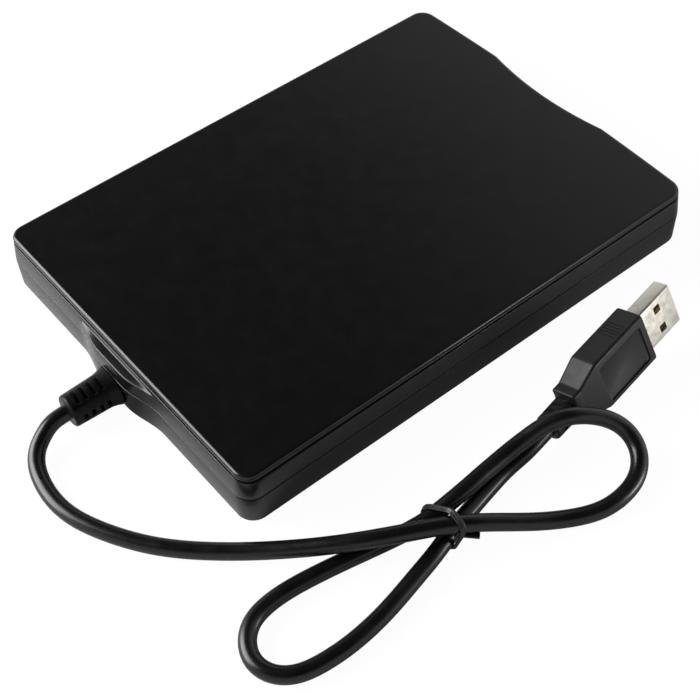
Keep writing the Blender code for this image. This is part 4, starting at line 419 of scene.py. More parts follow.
def strip_rings(start, heading, length, half_width, half_thickness):
    """Rings of a flat strip on its edge: rounded oblongs moved along a heading."""
    steps = np.array([0, 0.02, 0.06, 0.5, 0.94, 0.98, 1.0])
    size = np.array([0.86, 0.95, 1.0, 1.0, 1.0, 0.95, 0.86])
    angle = np.linspace(0, 2 * math.pi, 20, endpoint=False)
    heading = np.array(heading) / np.linalg.norm(heading)
    side = np.cross(heading, (0, 0, 1))
    wide = np.sign(np.sin(angle)) * np.abs(np.sin(angle)) ** 0.4 * half_width
    thick = np.sign(np.cos(angle)) * np.abs(np.cos(angle)) ** 0.4 * half_thickness
    ring = thick[:, None] * side + wide[:, None] * np.array((0, 0, 1))
    return np.array(start) + steps[:, None, None] * length * heading + size[:, None, None] * ring


tie_middle = TIE_Y + MIDDLE_Y
at_tie = (np.abs(cord_line[:, 1] - tie_middle) < TIE_REACH) & (cord_line[:, 0] < -CASE_SIDE)
strands = cord_line[at_tie][:, [0, 2]]
tie_radius = CORD_RADIUS + TIE_BAND[1] + 0.0001
tie_band = band_rings(strands, tie_middle, tie_radius, TIE_BAND)
tail_start = (-0.0857, tie_middle - 0.0013, 0.0045)
tie_tail = strip_rings(tail_start, (-0.724, -0.69, 0.0), TIE_TAIL, 0.0004, 0.0008)
tie = make_piece("wire_tie", skin_over(tie_band, loop=True), skin_over(tie_tail))
tie_finish = clouded("tie_coating", (0.009, 0.009, 0.0095), 0.42, (0.002, 2.0, 0.08),
                     (0.0012, 3.0, (0.016, 0.016, 0.017)), (0.0008, 2.0, 0.00004))
settle(tie, tie_finish.material, "case", "trim_black", "cord_tie")

# Plug grip: PVC moulded over the metal shell and the cord's end. Sunk panels on both
# broad faces, cross ribs on both narrow sides, and a slit boot that bends with the cord.
GRIP_WIDTH = 0.0148
GRIP_HEIGHT = 0.0078
GRIP_LENGTH = 0.018
GRIP_EDGE = 0.0008
NECK_WIDTH = 0.0094
NECK_HEIGHT = 0.0072
NECK_START = 0.0245
NECK_END = 0.027
BOOT_START_RADIUS = 0.0036
BOOT_END_RADIUS = 0.0035
BOOT_END = 0.0347
BOOT_SLITS = (0.0276, 0.0297, 0.0318)
BOOT_SLIT_WIDTH = 0.0009
BOOT_SLIT_DEPTH = 0.0009
PANEL_DEPTH = 0.0005
GROOVE_DEPTH = 0.0003
GROOVE_STEP = 0.00095
SHELL_WIDTH = 0.012
SHELL_HEIGHT = 0.0045
SHELL_REACH = 0.0119
SHELL_SEAT = 0.003
SHELL_WALL = 0.0004
FIT = 0.0003


def in_plug(points):
    """Points of the plug's own frame, turned and moved to where the plug lies."""
    return points @ plug_turn.T + plug_place


def oblong_rings(along, width, height, radius, steps=23):
    """Rounded oblongs across the Y axis, one for each row of four arrays.

    Each corner is a quarter circle: its centre sits a radius inside both sides, and
    cosine and sine of the angle times the radius lead from it to the edge.
    """
    along, width, height, radius = (np.asarray(value, float)[:, None]
                                    for value in (along, width, height, radius))
    quarter = np.radians(np.linspace(0, 90, steps + 1))
    angle = np.concatenate([quarter + math.pi / 2 * turn for turn in range(4)])[None]
    sign_x = np.repeat([1, -1, -1, 1], steps + 1)[None]
    sign_z = np.repeat([1, 1, -1, -1], steps + 1)[None]
    radius = np.minimum(radius, np.minimum(width, height) / 2)
    x = sign_x * (width / 2 - radius) + radius * np.cos(angle)
    z = sign_z * (height / 2 - radius) + radius * np.sin(angle)
    return np.stack([x, along + 0 * x, z], axis=-1)


def soft_step(share):
    """Three squares minus two cubes of the share, held between 0 and 1."""
    share = np.clip(share, 0, 1)
    return share * share * (3 - 2 * share)


def slit_depth(along, angle, middles, width, first_angle, half_angle, edge=0.00012):
    """How deep the slits of a boot are, as a share, on a grid of places and angles.

    A slit is deep where the place is within half its width of a middle and the angle
    is within half_angle of first_angle or of a quarter turn from it. Both fade with a
    soft step, so the slits have round ends and steep walls.
    """
    off = np.abs(along[:, None] - np.array(middles)).min(axis=1)[:, None]
    quarter = np.abs((angle - first_angle + math.pi / 4) % (math.pi / 2) - math.pi / 4)[None]
    return (soft_step((width / 2 - off) / edge + 0.5)
            * soft_step((half_angle - quarter) / math.radians(9) + 0.5))


def joined_block(low, high):
    """A plain box as two rings of four points, for a cutting tool."""
    (x0, y0, z0), (x1, y1, z1) = low, high
    ring = np.array([(x0, z0), (x1, z0), (x1, z1), (x0, z1)], float)
    return np.stack([np.column_stack([ring[:, 0], np.full(4, y), ring[:, 1]]) for y in (y0, y1)])


def carve(piece, tool, operation="DIFFERENCE"):
    """Cut a tool out of a piece, join it or keep what both hold, and use the tool up."""
    step = piece.modifiers.new("carve", "BOOLEAN")
    step.operation = operation
    step.object = tool
    step.solver = "EXACT"
    held = piece.evaluated_get(bpy.context.evaluated_depsgraph_get())
    mesh = bpy.data.meshes.new_from_object(held)
    piece.modifiers.clear()
    old, piece.data = piece.data, mesh
    name = old.name
    bpy.data.meshes.remove(old)
    mesh.name = name
    bpy.data.objects.remove(tool)
    shade_by_angle(mesh)
    return piece


edge_turn = np.radians(np.linspace(0, 90, 6))
rows = [(0.0, GRIP_WIDTH - 3.2 * GRIP_EDGE, GRIP_HEIGHT - 3.2 * GRIP_EDGE, GRIP_EDGE)]
rows += [(GRIP_EDGE * 0.7 * (1 - math.cos(turn)), GRIP_WIDTH - 1.4 * GRIP_EDGE * (1 - math.sin(turn)),
          GRIP_HEIGHT - 1.4 * GRIP_EDGE * (1 - math.sin(turn)), GRIP_EDGE) for turn in edge_turn]
taper = np.linspace(GRIP_LENGTH - 0.0008, NECK_START + 0.0006, 24)
fall = np.clip((taper - GRIP_LENGTH) / (NECK_START - GRIP_LENGTH), 0, 1)
rows += [(place, GRIP_WIDTH + (NECK_WIDTH - GRIP_WIDTH) * share,
          GRIP_HEIGHT + (NECK_HEIGHT - GRIP_HEIGHT) * share, GRIP_EDGE)
         for place, share in zip(taper, fall)]
rows += [(NECK_END - 0.0004 + 0.0004 * math.sin(turn), NECK_WIDTH - 0.0008 * (1 - math.cos(turn)),
          NECK_HEIGHT - 0.0008 * (1 - math.cos(turn)), GRIP_EDGE) for turn in edge_turn]
rows = np.array(rows)
boot_along = np.unique(np.round(np.concatenate(
    [np.linspace(NECK_END, BOOT_END - 0.0006, 24)]
    + [middle + np.linspace(-0.6, 0.6, 15) * BOOT_SLIT_WIDTH for middle in BOOT_SLITS]
    + [BOOT_END - 0.0006 + 0.0006 * np.sin(edge_turn)]), 7))
boot_share = (boot_along - NECK_END) / (BOOT_END - NECK_END)
boot_radius = BOOT_START_RADIUS + (BOOT_END_RADIUS - BOOT_START_RADIUS) * boot_share
past = np.clip((boot_along - (BOOT_END - 0.0006)) / 0.0006, 0, 1)
boot_radius -= 0.0006 * (1 - np.sqrt(1 - past ** 2))
boot_rings = oblong_rings(-boot_along, 2 * boot_radius, 2 * boot_radius, boot_radius)
boot_angle = np.arctan2(boot_rings[0, :, 2], boot_rings[0, :, 0])
sunk = slit_depth(boot_along, boot_angle, BOOT_SLITS, BOOT_SLIT_WIDTH, math.radians(100),
                  math.radians(30))
boot_rings[..., [0, 2]] *= (1 - BOOT_SLIT_DEPTH * sunk / boot_radius[:, None])[..., None]
grip_rings = np.concatenate([oblong_rings(-rows[:, 0], *rows.T[1:]), boot_rings])
grip = make_piece("plug_moulding", skin_over(in_plug(grip_rings)))
tools = []
for side in (-1, 1):
    face = side * GRIP_HEIGHT / 2
    deep = np.array([0.001, 0.0, -PANEL_DEPTH * 0.7, -PANEL_DEPTH])
    wide = np.array([0.0112, 0.0112, 0.0111, 0.0107])
    panel = oblong_rings(deep, wide, wide + 0.0046, np.full(4, 0.0011), 6)
    panel = np.stack([panel[..., 0] + 0.0003 * side, panel[..., 2] - 0.0098,
                      face + side * panel[..., 1]], axis=-1)
    tools.append(skin_over(in_plug(panel)))
    inner, outer = sorted(side * (GRIP_WIDTH / 2 + reach) for reach in (-GROOVE_DEPTH, 0.001))
    for groove in np.arange(5) * GROOVE_STEP + 0.0052:
        rib = joined_block((inner, -groove - 0.00016, -0.0026), (outer, -groove + 0.00016, 0.0026))
        tools.append(skin_over(in_plug(rib)))
seat = joined_block((-SHELL_WIDTH / 2 - FIT, -SHELL_SEAT - FIT, -SHELL_HEIGHT / 2 - FIT),
                    (SHELL_WIDTH / 2 + FIT, 0.003, SHELL_HEIGHT / 2 + FIT))
tools.append(skin_over(in_plug(seat)))
carve(grip, make_piece("grip_tools", *tools))
moulded_pvc = clouded("moulded_pvc", (0.0075, 0.0077, 0.008), 0.42, (0.003, 2.0, 0.06),
                      (0.0025, 4.0, (0.012, 0.0123, 0.0126)), (0.00022, 2.0, 0.000016), specular=0.34)
settle(grip, moulded_pvc.material, "case", "trim_black", "plug_grip")

# Plug shell: thin nickel-plated steel, folded round the plug's tongue, with two square
# holes in each broad face where the socket's springs catch, and a butted seam.
HOLE_SIDE = 0.0022
HOLE_SPACING = 0.0062
HOLE_FROM_TIP = 0.0058


def shell_rings():
    """Rings of the folded shell as one closed loop, out along the outside and back inside.

    The outer oblong's corners have the bend radius and the inner ones that radius less
    the wall. Both front edges are rounded by a third of the wall.
    """
    turn = np.radians(np.linspace(0, 90, 4))
    soft = SHELL_WALL * 0.33
    out_y = np.concatenate([[-SHELL_SEAT], SHELL_REACH - soft + soft * np.sin(turn)])
    out_in = np.concatenate([[0.0], soft * (1 - np.cos(turn))])
    back_y = np.concatenate([SHELL_REACH - soft + soft * np.cos(turn), [-SHELL_SEAT]])
    back_in = np.concatenate([SHELL_WALL - soft * (1 - np.sin(turn)), [SHELL_WALL]])
    along, inset = np.concatenate([out_y, back_y]), np.concatenate([out_in, back_in])
    return oblong_rings(along, SHELL_WIDTH - 2 * inset, SHELL_HEIGHT - 2 * inset,
                        np.maximum(0.0006 - inset, 0.0002), 8)


shell = make_piece("plug_metal_shell", skin_over(in_plug(shell_rings()), loop=True))
tools = []
for side in (-1, 1):
    size = np.full(2, HOLE_SIDE)
    hole = oblong_rings(np.array([-0.004, 0.004]), size, size, np.full(2, 0.00025), 4)
    hole = np.stack([hole[..., 0] + side * HOLE_SPACING / 2,
                     hole[..., 2] + SHELL_REACH - HOLE_FROM_TIP, hole[..., 1]], axis=-1)
    tools.append(skin_over(in_plug(hole)))
seam = joined_block((-0.00006, -SHELL_SEAT - 0.001, -SHELL_HEIGHT / 2 - 0.001),
                    (0.00006, SHELL_REACH + 0.001, -SHELL_HEIGHT / 2 + 0.00022))
tools.append(skin_over(in_plug(seam)))
carve(shell, make_piece("shell_tools", *tools))
nickel = clouded("nickel_plate", (0.88, 0.84, 0.75), 0.3, (0.002, 3.0, 0.08),
                 (0.0022, 4.0, (0.78, 0.72, 0.6), 0.45, 0.75), (0.0006, 3.0, 0.000004), metallic=1.0)
settle(shell, nickel.material, "case", "nickel_plate", "plug_shell")

# Plug tongue and contacts: a white nylon block carries four flat gold-plated contacts.
# They stay as the solids are, with moulded and plated finishes.


def refinish(finish, *names):
    """Give solids that stay a finish through their own material slots."""
    for name in names:
        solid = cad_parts[name]
        if not solid.material_slots:
            solid.data.materials.append(finish.material)
        for holder in solid.material_slots:
            holder.material = finish.material


white_nylon = clouded("white_nylon", (0.72, 0.71, 0.67), 0.42, (0.002, 2.0, 0.06),
                      (0.003, 3.0, (0.63, 0.61, 0.56), 0.45, 0.75), (0.0004, 2.0, 0.000008))
gold_plate = Finish("gold_plate", (0.86, 0.62, 0.26), 0.24, metallic=1.0)
gold_plate.vary_roughness(gold_plate.noise(0.0006, 3.0, scale=(1, 0.2, 1)), 0.08)
gold_plate.tint(gold_plate.noise(0.0012), (0.7, 0.5, 0.2), 0.5, 0.8)
refinish(white_nylon, "plug_tongue", "control_socket", "interface_socket", "cable_header",
         "activity_led")
refinish(gold_plate, "plug_contact_1", "plug_contact_2", "plug_contact_3", "plug_contact_4")

# Strain relief: soft black rubber moulded on the cable, a flare on the case's swollen
# rear wall and a slit body. Its collar and neck hold it in the wall's hole.
CABLE_X = 0.0006
CABLE_Z = 0.0056
RELIEF_FACE = 0.07413435
RELIEF_COLLAR = ((0.0679, 0.005, 0.0029), (0.0691, 0.005, 0.0029), (0.0691, 0.0029, 0.0026))
RELIEF_BODY = 0.0047
RELIEF_TIP = 0.0043
RELIEF_LENGTH = 0.0128
RELIEF_SLITS = (0.0035, 0.0057, 0.0079, 0.0101)
RELIEF_SLIT_WIDTH = 0.0009
RELIEF_SLIT_DEPTH = 0.0015
RELIEF_FIRST_SLIT = 100.0
RELIEF_HALF_SLIT = 21.0
RELIEF_FLARE = (0.0012, 0.0003)


def oval_rings(along, wide, high, sides=120):
    """Ovals across the Y axis round the cable: cosine times the half width and sine
    times the half height, one ring for each row."""
    angle = np.linspace(0, 2 * math.pi, sides, endpoint=False)
    x = CABLE_X + wide * np.cos(angle)[None]
    z = CABLE_Z + high * np.sin(angle)[None]
    return np.stack([x, along[:, None] + 0 * x, z], axis=-1)


reach = np.unique(np.round(np.concatenate(
    [np.linspace(0, RELIEF_LENGTH - 0.0007, 40)]
    + [middle + np.linspace(-0.62, 0.62, 17) * RELIEF_SLIT_WIDTH for middle in RELIEF_SLITS]
    + [RELIEF_LENGTH - 0.0007 + 0.0007 * np.sin(edge_turn)]), 7))
flare = np.clip(1 - reach / 0.0034, 0, 1) ** 2
body = RELIEF_BODY + (RELIEF_TIP - RELIEF_BODY) * reach / RELIEF_LENGTH
past = np.clip((reach - (RELIEF_LENGTH - 0.0007)) / 0.0007, 0, 1)
body -= 0.0007 * (1 - np.sqrt(1 - past ** 2))
lip = 0.0004 * (1 - np.sqrt(1 - np.clip(1 - reach / 0.0004, 0, 1) ** 2))
wide = body + RELIEF_FLARE[0] * flare - lip
high = body + RELIEF_FLARE[1] * flare - lip
oval_angle = np.linspace(0, 2 * math.pi, 120, endpoint=False)
sunk = slit_depth(reach, oval_angle, RELIEF_SLITS, RELIEF_SLIT_WIDTH,
                  math.radians(RELIEF_FIRST_SLIT), math.radians(RELIEF_HALF_SLIT))
outside = oval_rings(reach + RELIEF_FACE + MIDDLE_Y, wide[:, None] - RELIEF_SLIT_DEPTH * sunk,
                     high[:, None] - RELIEF_SLIT_DEPTH * sunk)
collar = np.array(RELIEF_COLLAR + ((RELIEF_FACE, 0.0029, 0.0026),))
inside = oval_rings(collar[:, 0] + MIDDLE_Y, collar[:, 1, None], collar[:, 2, None])
relief = make_piece("cable_relief", skin_over(np.concatenate([inside, outside])))
relief_rubber = clouded("relief_rubber", (0.003, 0.003, 0.0032), 0.36, (0.002, 2.0, 0.08),
                        (0.0015, 3.0, (0.008, 0.008, 0.0083)), (0.0003, 2.0, 0.00002), specular=0.2)
settle(relief, relief_rubber.material, "case", "rubber_black", "strain_relief")

# Case, upper shell: black ABS, injection moulded. A flat top with a small round rim, a
# groove round the wall, a wall that leans out to the parting line, and a swelling round
# the cable that ends in a ledge. Two bosses take the rear screws.
CASE_TOP = 0.0178
CASE_BOTTOM = 0.0008
PARTING = 0.01
HALF_LENGTH = 0.071
HALF_WIDTH = 0.0515
CORNER = 0.004
FLARE = 0.00084
TAPER = 0.00018
BOW = 0.00125
SCOOP_HALF = 0.02075
SCOOP_DEPTH = 0.0023
SWELL = 0.0022
SWELL_FLAT = 0.005
SWELL_RAMP = 0.013
LEDGE = 0.0143
LEDGE_SLOPE = 0.0003
WALL = 0.0016
CEILING = 0.0163
FLOOR_TOP = 0.0023
SEAM = 0.0003
GROOVE = (0.01545, 0.01635, 0.0006)
RIM_ROUND = 0.0008
WINDOW_SIDE = 0.0479
WINDOW_TOP = 0.0151
WINDOW_BOTTOM = 0.0031
WINDOW_BACK = -0.0603
BOSS_RADIUS = 0.0024
SCREW_BORE = 0.0013
SCREW_SINK = 0.0023
LEDGE_ROUND = 0.0003
CASE_SCREW = (0.0454, 0.0649)
DRIVE_SCREW = (0.0436, -0.0343)


def lean(z):
    """How far the wall leans out at height z: in proportion to the depth below the rim
    above the parting line, and back in again below it."""
    return np.where(z >= PARTING, FLARE * (CASE_TOP - z) / (CASE_TOP - PARTING),
                    FLARE - TAPER * (PARTING - z) / (PARTING - CASE_BOTTOM))


def case_rings(rows):
    """Rings of the case from rows of (height, inset from the wall, share of swelling).

    The corners are quarter circles about fixed centres. The front is bowed by one less
    the square of x over the half width, and scooped by the same form over the scoop.
    The rear swells by a soft step of x round the cable.
    """
    height, inset, swell = np.array(rows, float).T[..., None]
    out = lean(height) - inset
    quarter = np.linspace(0, 1, 17)[None]
    flat = HALF_WIDTH - CORNER

    def bow(x):
        return BOW * np.clip(1 - (x / HALF_WIDTH) ** 2, 0, None)

    def rounded(sign_x, sign_y, start, bow_share):
        angle = np.radians(start + 90 * quarter)
        x = sign_x * flat + (CORNER + out) * np.cos(angle)
        y = sign_y * (HALF_LENGTH - CORNER) + (CORNER + out) * np.sin(angle)
        return x, y - bow(x) * bow_share

    side = np.linspace(-flat, -SCOOP_HALF, 26)[1:]
    front_x = np.concatenate([side, np.linspace(-SCOOP_HALF, SCOOP_HALF, 61)[1:-1], -side[::-1]])
    scooped = SCOOP_DEPTH * np.clip(1 - (front_x / SCOOP_HALF) ** 2, 0, None)
    front_y = -HALF_LENGTH - out - bow(front_x) + scooped
    rear_x = CABLE_X + np.linspace(1, -1, 73) * (SWELL_FLAT + SWELL_RAMP)
    swollen = SWELL * soft_step((SWELL_FLAT + SWELL_RAMP - np.abs(rear_x - CABLE_X)) / SWELL_RAMP)
    runs = [rounded(-1, -1, 180, quarter), (front_x + 0 * out, front_y),
            rounded(1, -1, 270, 1 - quarter), rounded(1, 1, 0, 0),
            (rear_x + 0 * out, HALF_LENGTH + out + swell * swollen), rounded(-1, 1, 90, 0)]
    x = np.concatenate([run[0] for run in runs], axis=1)
    y = np.concatenate([run[1] + 0 * run[0] for run in runs], axis=1) + MIDDLE_Y
    return np.stack([x, y, height + 0 * x], axis=-1)


def arc(inset, height, radius, start, end, steps, swell=0.0):
    """Rows on an arc about (inset, height), the angle running from inwards to upwards."""
    turn = np.radians(np.linspace(start, end, steps + 1))
    return [(height + radius * math.sin(angle), inset + radius * math.cos(angle), swell)
            for angle in turn]


def case_block(low, high):
    """Skin of a plain box given in the frame of the case's rim."""
    return skin_over(joined_block(low, high) + (0, MIDDLE_Y, 0))


def peg(place, spans, sides=28):
    """Skin of a stepped round peg along Z, from (height, radius) pairs."""
    angle = np.linspace(0, 2 * math.pi, sides, endpoint=False)
    spans = np.array(spans, float)
    x = place[0] + spans[:, 1:] * np.cos(angle)
    y = place[1] + MIDDLE_Y + spans[:, 1:] * np.sin(angle)
    return skin_over(np.stack([x, y, spans[:, :1] + 0 * x], axis=-1))


low = PARTING + SEAM / 2
soft = 0.00015
top_rows = [(CEILING, WALL + 0.0008, 0.0), (CEILING, WALL, 0.0), (low, WALL, 0.0)]
top_rows += arc(soft, low + soft, soft, 270, 180, 3, 1.0)
ledge_turn = np.radians(np.linspace(0, 82, 7))
past_wall = SWELL - LEDGE_ROUND + LEDGE_ROUND * np.cos(ledge_turn)
ledge_end = LEDGE - LEDGE_SLOPE * past_wall[-1] / SWELL
top_rows += [(ledge_end + LEDGE_ROUND * (math.sin(turn) - math.sin(ledge_turn[-1])), 0.0,
              reach_out / SWELL) for turn, reach_out in zip(ledge_turn, past_wall)]
root_turn = np.radians(np.linspace(0, 90, 5))
top_rows += [(LEDGE - LEDGE_SLOPE * 0.1 + 0.0003 * (1 - math.cos(turn)), 0.0,
              0.0003 * (1 - math.sin(turn)) / SWELL) for turn in root_turn]
groove_low, groove_high, groove_depth = GROOVE
top_rows += arc(soft, groove_low - soft, soft, 180, 90, 3)
top_rows += arc(groove_depth - soft, groove_low + soft, soft, 270, 360, 3)
top_rows += arc(groove_depth - soft, groove_high - soft, soft, 0, 90, 3)
top_rows += arc(soft, groove_high + soft, soft, 270, 180, 3)
top_rows += arc(RIM_ROUND, CASE_TOP - RIM_ROUND, RIM_ROUND, 180, 90, 8)
top_rows += [(CASE_TOP, RIM_ROUND + 0.0005, 0.0)]
upper = make_piece("case_upper_shell", skin_over(case_rings(top_rows)))
window = case_block((-WINDOW_SIDE, -HALF_LENGTH - 0.003, PARTING - 0.003),
                    (WINDOW_SIDE, WINDOW_BACK, WINDOW_TOP))
carve(upper, make_piece("window_tool", window))
for name, operation, spans in (
        ("boss_tool", "UNION", [(FLOOR_TOP + FIT, BOSS_RADIUS), (CEILING + FIT, BOSS_RADIUS)]),
        ("bore_tool", "DIFFERENCE", [(0.0, SCREW_BORE), (0.011, SCREW_BORE)])):
    pegs = [peg((side * CASE_SCREW[0], CASE_SCREW[1]), spans) for side in (-1, 1)]
    carve(upper, make_piece(name, *pegs), operation)
case_abs = Finish("case_abs", (0.0042, 0.0044, 0.0042), 0.25, specular=0.5)
grain = case_abs.noise(0.00035, 3.0)
case_abs.vary_roughness(case_abs.noise(0.004, 4.0), 0.025)
case_abs.tint(case_abs.noise(0.006, 5.0), (0.0047, 0.0048, 0.0044))
case_abs.relief(grain, 0.000013)
settle(upper, case_abs.material, "case", "case_black", "top_cover")

# Case, lower shell: the same plastic. Floor, wall that tapers in below the parting line,
# an inner lip that the upper shell sits over, seats for the feet, sinks for the screws
# and the cable's hole through the swollen wall.
LIP_OUT = 0.0019
LIP_IN = 0.0026
LIP_TOP = 0.0112
LIP_ROOT = 0.0082
EDGE_ROUND = 0.001
FOOT_PLACE = (0.0395, 0.057)
FOOT_SEAT = 0.0048
CABLE_HOLE = 0.0032
high = PARTING - SEAM / 2
base_rows = [(CASE_BOTTOM, EDGE_ROUND + 0.0006, 1.0)]
base_rows += arc(EDGE_ROUND, CASE_BOTTOM + EDGE_ROUND, EDGE_ROUND, 270, 180, 8, 1.0)
base_rows += arc(soft, high - soft, soft, 180, 90, 3, 1.0)
base_rows += [(high, LIP_OUT, 0.0), (LIP_TOP - soft, LIP_OUT, 0.0), (LIP_TOP, LIP_OUT + soft, 0.0),
              (LIP_TOP, LIP_IN, 0.0), (LIP_ROOT + 0.0007, LIP_IN, 0.0), (LIP_ROOT, WALL, 0.0),
              (FLOOR_TOP, WALL, 0.0), (FLOOR_TOP, WALL + 0.0006, 0.0)]
lower = make_piece("case_lower_shell", skin_over(case_rings(base_rows)))
tools = [case_block((-WINDOW_SIDE, -HALF_LENGTH - 0.003, WINDOW_BOTTOM),
                    (WINDOW_SIDE, WINDOW_BACK, PARTING + 0.003))]
sink = [(-0.002, SCREW_SINK), (0.0017, SCREW_SINK), (0.0017, SCREW_BORE), (0.0053, SCREW_BORE)]
for side in (-1, 1):
    tools += [peg((side * x, y), sink) for x, y in (CASE_SCREW, DRIVE_SCREW)]
    tools += [peg((side * FOOT_PLACE[0], end * FOOT_PLACE[1]),
                  [(-0.002, FOOT_SEAT), (0.0018, FOOT_SEAT)], 48) for end in (-1, 1)]
cable_bore = np.full((2, 1), CABLE_HOLE)
hole = oval_rings(np.array([HALF_LENGTH - WALL - 0.003, 0.0771]) + MIDDLE_Y, cable_bore, cable_bore, 40)
tools.append(skin_over(hole))
carve(lower, make_piece("lower_tools", *tools))
lip_window = case_block((-WINDOW_SIDE - 0.0011, -HALF_LENGTH + WALL - BOW, FLOOR_TOP + FIT),
                        (WINDOW_SIDE + 0.0011, WINDOW_BACK, PARTING + 0.003))
carve(lower, make_piece("lip_tool", lip_window))
pegs = [peg((x, 0.06395), [(FLOOR_TOP - FIT, 0.0014), (0.0052, 0.0014)]) for x in (0.0178, 0.03028)]
carve(lower, make_piece("post_tool", *pegs), "UNION")
settle(lower, case_abs.material, "case", "case_black", "bottom_cover")

# Front panel: a separate black moulding behind the case's front opening. It follows the
# bowed and scooped front and holds the disk slot with its flared mouth, the button's
# window and the lens, and two ears behind it carry the dust door.
button_low, button_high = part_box("eject_button")
lens_low, lens_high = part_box("activity_lens")
BAY_SIDE = 0.0456
BAY_BOTTOM = 0.0094
BAY_TOP = 0.0138
PANEL_SIDE = 0.0476
PANEL_BOTTOM = 0.0034
PANEL_TOP = 0.0148
FLANGE_REACH = 0.0008
LENS_BORE = 0.0018
DOOR_AXIS = (-0.067076, 0.0146)


def front_face(x, z):
    """The front's y at x and z: the rim line less the lean, bowed and scooped."""
    return (MIDDLE_Y - HALF_LENGTH - lean(z) - BOW * np.clip(1 - (x / HALF_WIDTH) ** 2, 0, None)
            + SCOOP_DEPTH * np.clip(1 - (x / SCOOP_HALF) ** 2, 0, None))


def mouth_rings(low_x, high_x, low_z, high_z, flare, round_by):
    """Rings of a cutting tool whose mouth flares to the panel's bowed face.

    Each ring is a rounded oblong with 40 points on its long sides. Its points stand at a
    set depth behind the face, and the oblong grows by the flare towards the front.
    """
    depth = np.array([-0.003, 0.0, flare * 0.35, flare, 0.009])
    grow = np.array([1.0, 1.0, 0.35, 0.0, 0.0]) * flare
    x_line = np.linspace(low_x, high_x, 41)
    rings = []
    for back, more in zip(depth, grow):
        radius = round_by + more
        turn = np.radians(np.linspace(0, 90, 7))[:-1]
        corner_x = np.concatenate([np.cos(turn + math.pi / 2 * quarter) for quarter in range(4)])
        corner_z = np.concatenate([np.sin(turn + math.pi / 2 * quarter) for quarter in range(4)])
        sign_x = np.repeat([1, -1, -1, 1], 6)
        sign_z = np.repeat([1, 1, -1, -1], 6)
        middle_x, middle_z = (low_x + high_x) / 2, (low_z + high_z) / 2
        x = middle_x + sign_x * ((high_x - low_x) / 2 - round_by) + radius * corner_x
        z = middle_z + sign_z * ((high_z - low_z) / 2 - round_by) + radius * corner_z
        inner = x_line[(x_line > low_x + 0.001) & (x_line < high_x - 0.001)]
        x = np.concatenate([x[:6], [x[5] - 1e-5], inner[::-1], x[6:18], inner, x[18:]])
        z = np.concatenate([z[:6], [high_z + more], np.full(len(inner), high_z + more), z[6:18],
                            np.full(len(inner), low_z - more), z[18:]])
        rings.append(np.column_stack([x, front_face(x, z) + back, z]))
    return np.stack(rings)


def layer_rings(inset, low_z, high_z):
    """Two case outlines, inset by so much, as a slab between two heights."""
    return case_rings([(low_z, inset, 0.0), (PARTING, inset, 0.0), (high_z, inset, 0.0)])


front_edge = -HALF_LENGTH - 0.003
panel = make_piece("front_panel", case_block((-PANEL_SIDE, front_edge, PANEL_BOTTOM),
                                             (PANEL_SIDE, WINDOW_BACK, PANEL_TOP)))
carve(panel, make_piece("face_tool", skin_over(layer_rings(0.0, CASE_BOTTOM, CASE_TOP))), "INTERSECT")
flange = make_piece("panel_flange", case_block(
    (-WINDOW_SIDE - FLANGE_REACH, front_edge, PANEL_BOTTOM - FLANGE_REACH),
    (WINDOW_SIDE + FLANGE_REACH, WINDOW_BACK, PANEL_TOP + FLANGE_REACH)))
carve(flange, make_piece("flange_tool", skin_over(layer_rings(WALL + FIT, CASE_BOTTOM, CASE_TOP))),
      "INTERSECT")
carve(panel, flange, "UNION")
carve(panel, make_piece("back_tool", skin_over(layer_rings(WALL + 0.001, -0.002, 0.021))))
ears = []
for side in (-1, 1):
    near, far = side * (BAY_SIDE + 2 * FIT), side * (BAY_SIDE + 2 * FIT + 0.0006)
    ear_front = float(front_face(near, DOOR_AXIS[1])) + WALL + FIT + FIT
    ears.append(skin_over(joined_block((min(near, far), ear_front, DOOR_AXIS[1] - 0.0011),
                                       (max(near, far), DOOR_AXIS[0] + 0.0011, PANEL_TOP + 0.0005))))
carve(panel, make_piece("ear_tool", *ears), "UNION")
turn = np.linspace(0, 2 * math.pi, 20, endpoint=False)
pin_ring = np.column_stack([0 * turn, DOOR_AXIS[0] + 0.0008 * np.cos(turn),
                            DOOR_AXIS[1] + 0.0008 * np.sin(turn)])
bores = [skin_over(np.stack([pin_ring + (side * (BAY_SIDE + 0.0003), 0, 0),
                             pin_ring + (side * (BAY_SIDE + 0.0015), 0, 0)])) for side in (-1, 1)]
carve(panel, make_piece("pin_tool", *bores))
button_z = (PANEL_BOTTOM + BAY_BOTTOM) / 2
openings = [skin_over(mouth_rings(-BAY_SIDE, BAY_SIDE, BAY_BOTTOM, BAY_TOP, 0.00035, 0.0002)),
            skin_over(mouth_rings(button_low.x - FIT, button_high.x + FIT, button_low.z - FIT,
                                  button_high.z + FIT, 0.0002, 0.0005))]
lens_x = (lens_low.x + lens_high.x) / 2
lens_ring = np.column_stack([lens_x + LENS_BORE * np.cos(turn), 0 * turn,
                             button_z + LENS_BORE * np.sin(turn)])
openings.append(skin_over(np.stack([lens_ring + (0, front_edge, 0), lens_ring + (0, WINDOW_BACK, 0)])))
carve(panel, make_piece("opening_tool", *openings))
panel_finish = clouded("panel_abs", (0.009, 0.009, 0.0093), 0.42, (0.004, 3.0, 0.05),
                       (0.005, 4.0, (0.013, 0.013, 0.0133)), (0.0003, 2.0, 0.00002))
settle(panel, panel_finish.material, "case", "trim_black", "front_bezel")

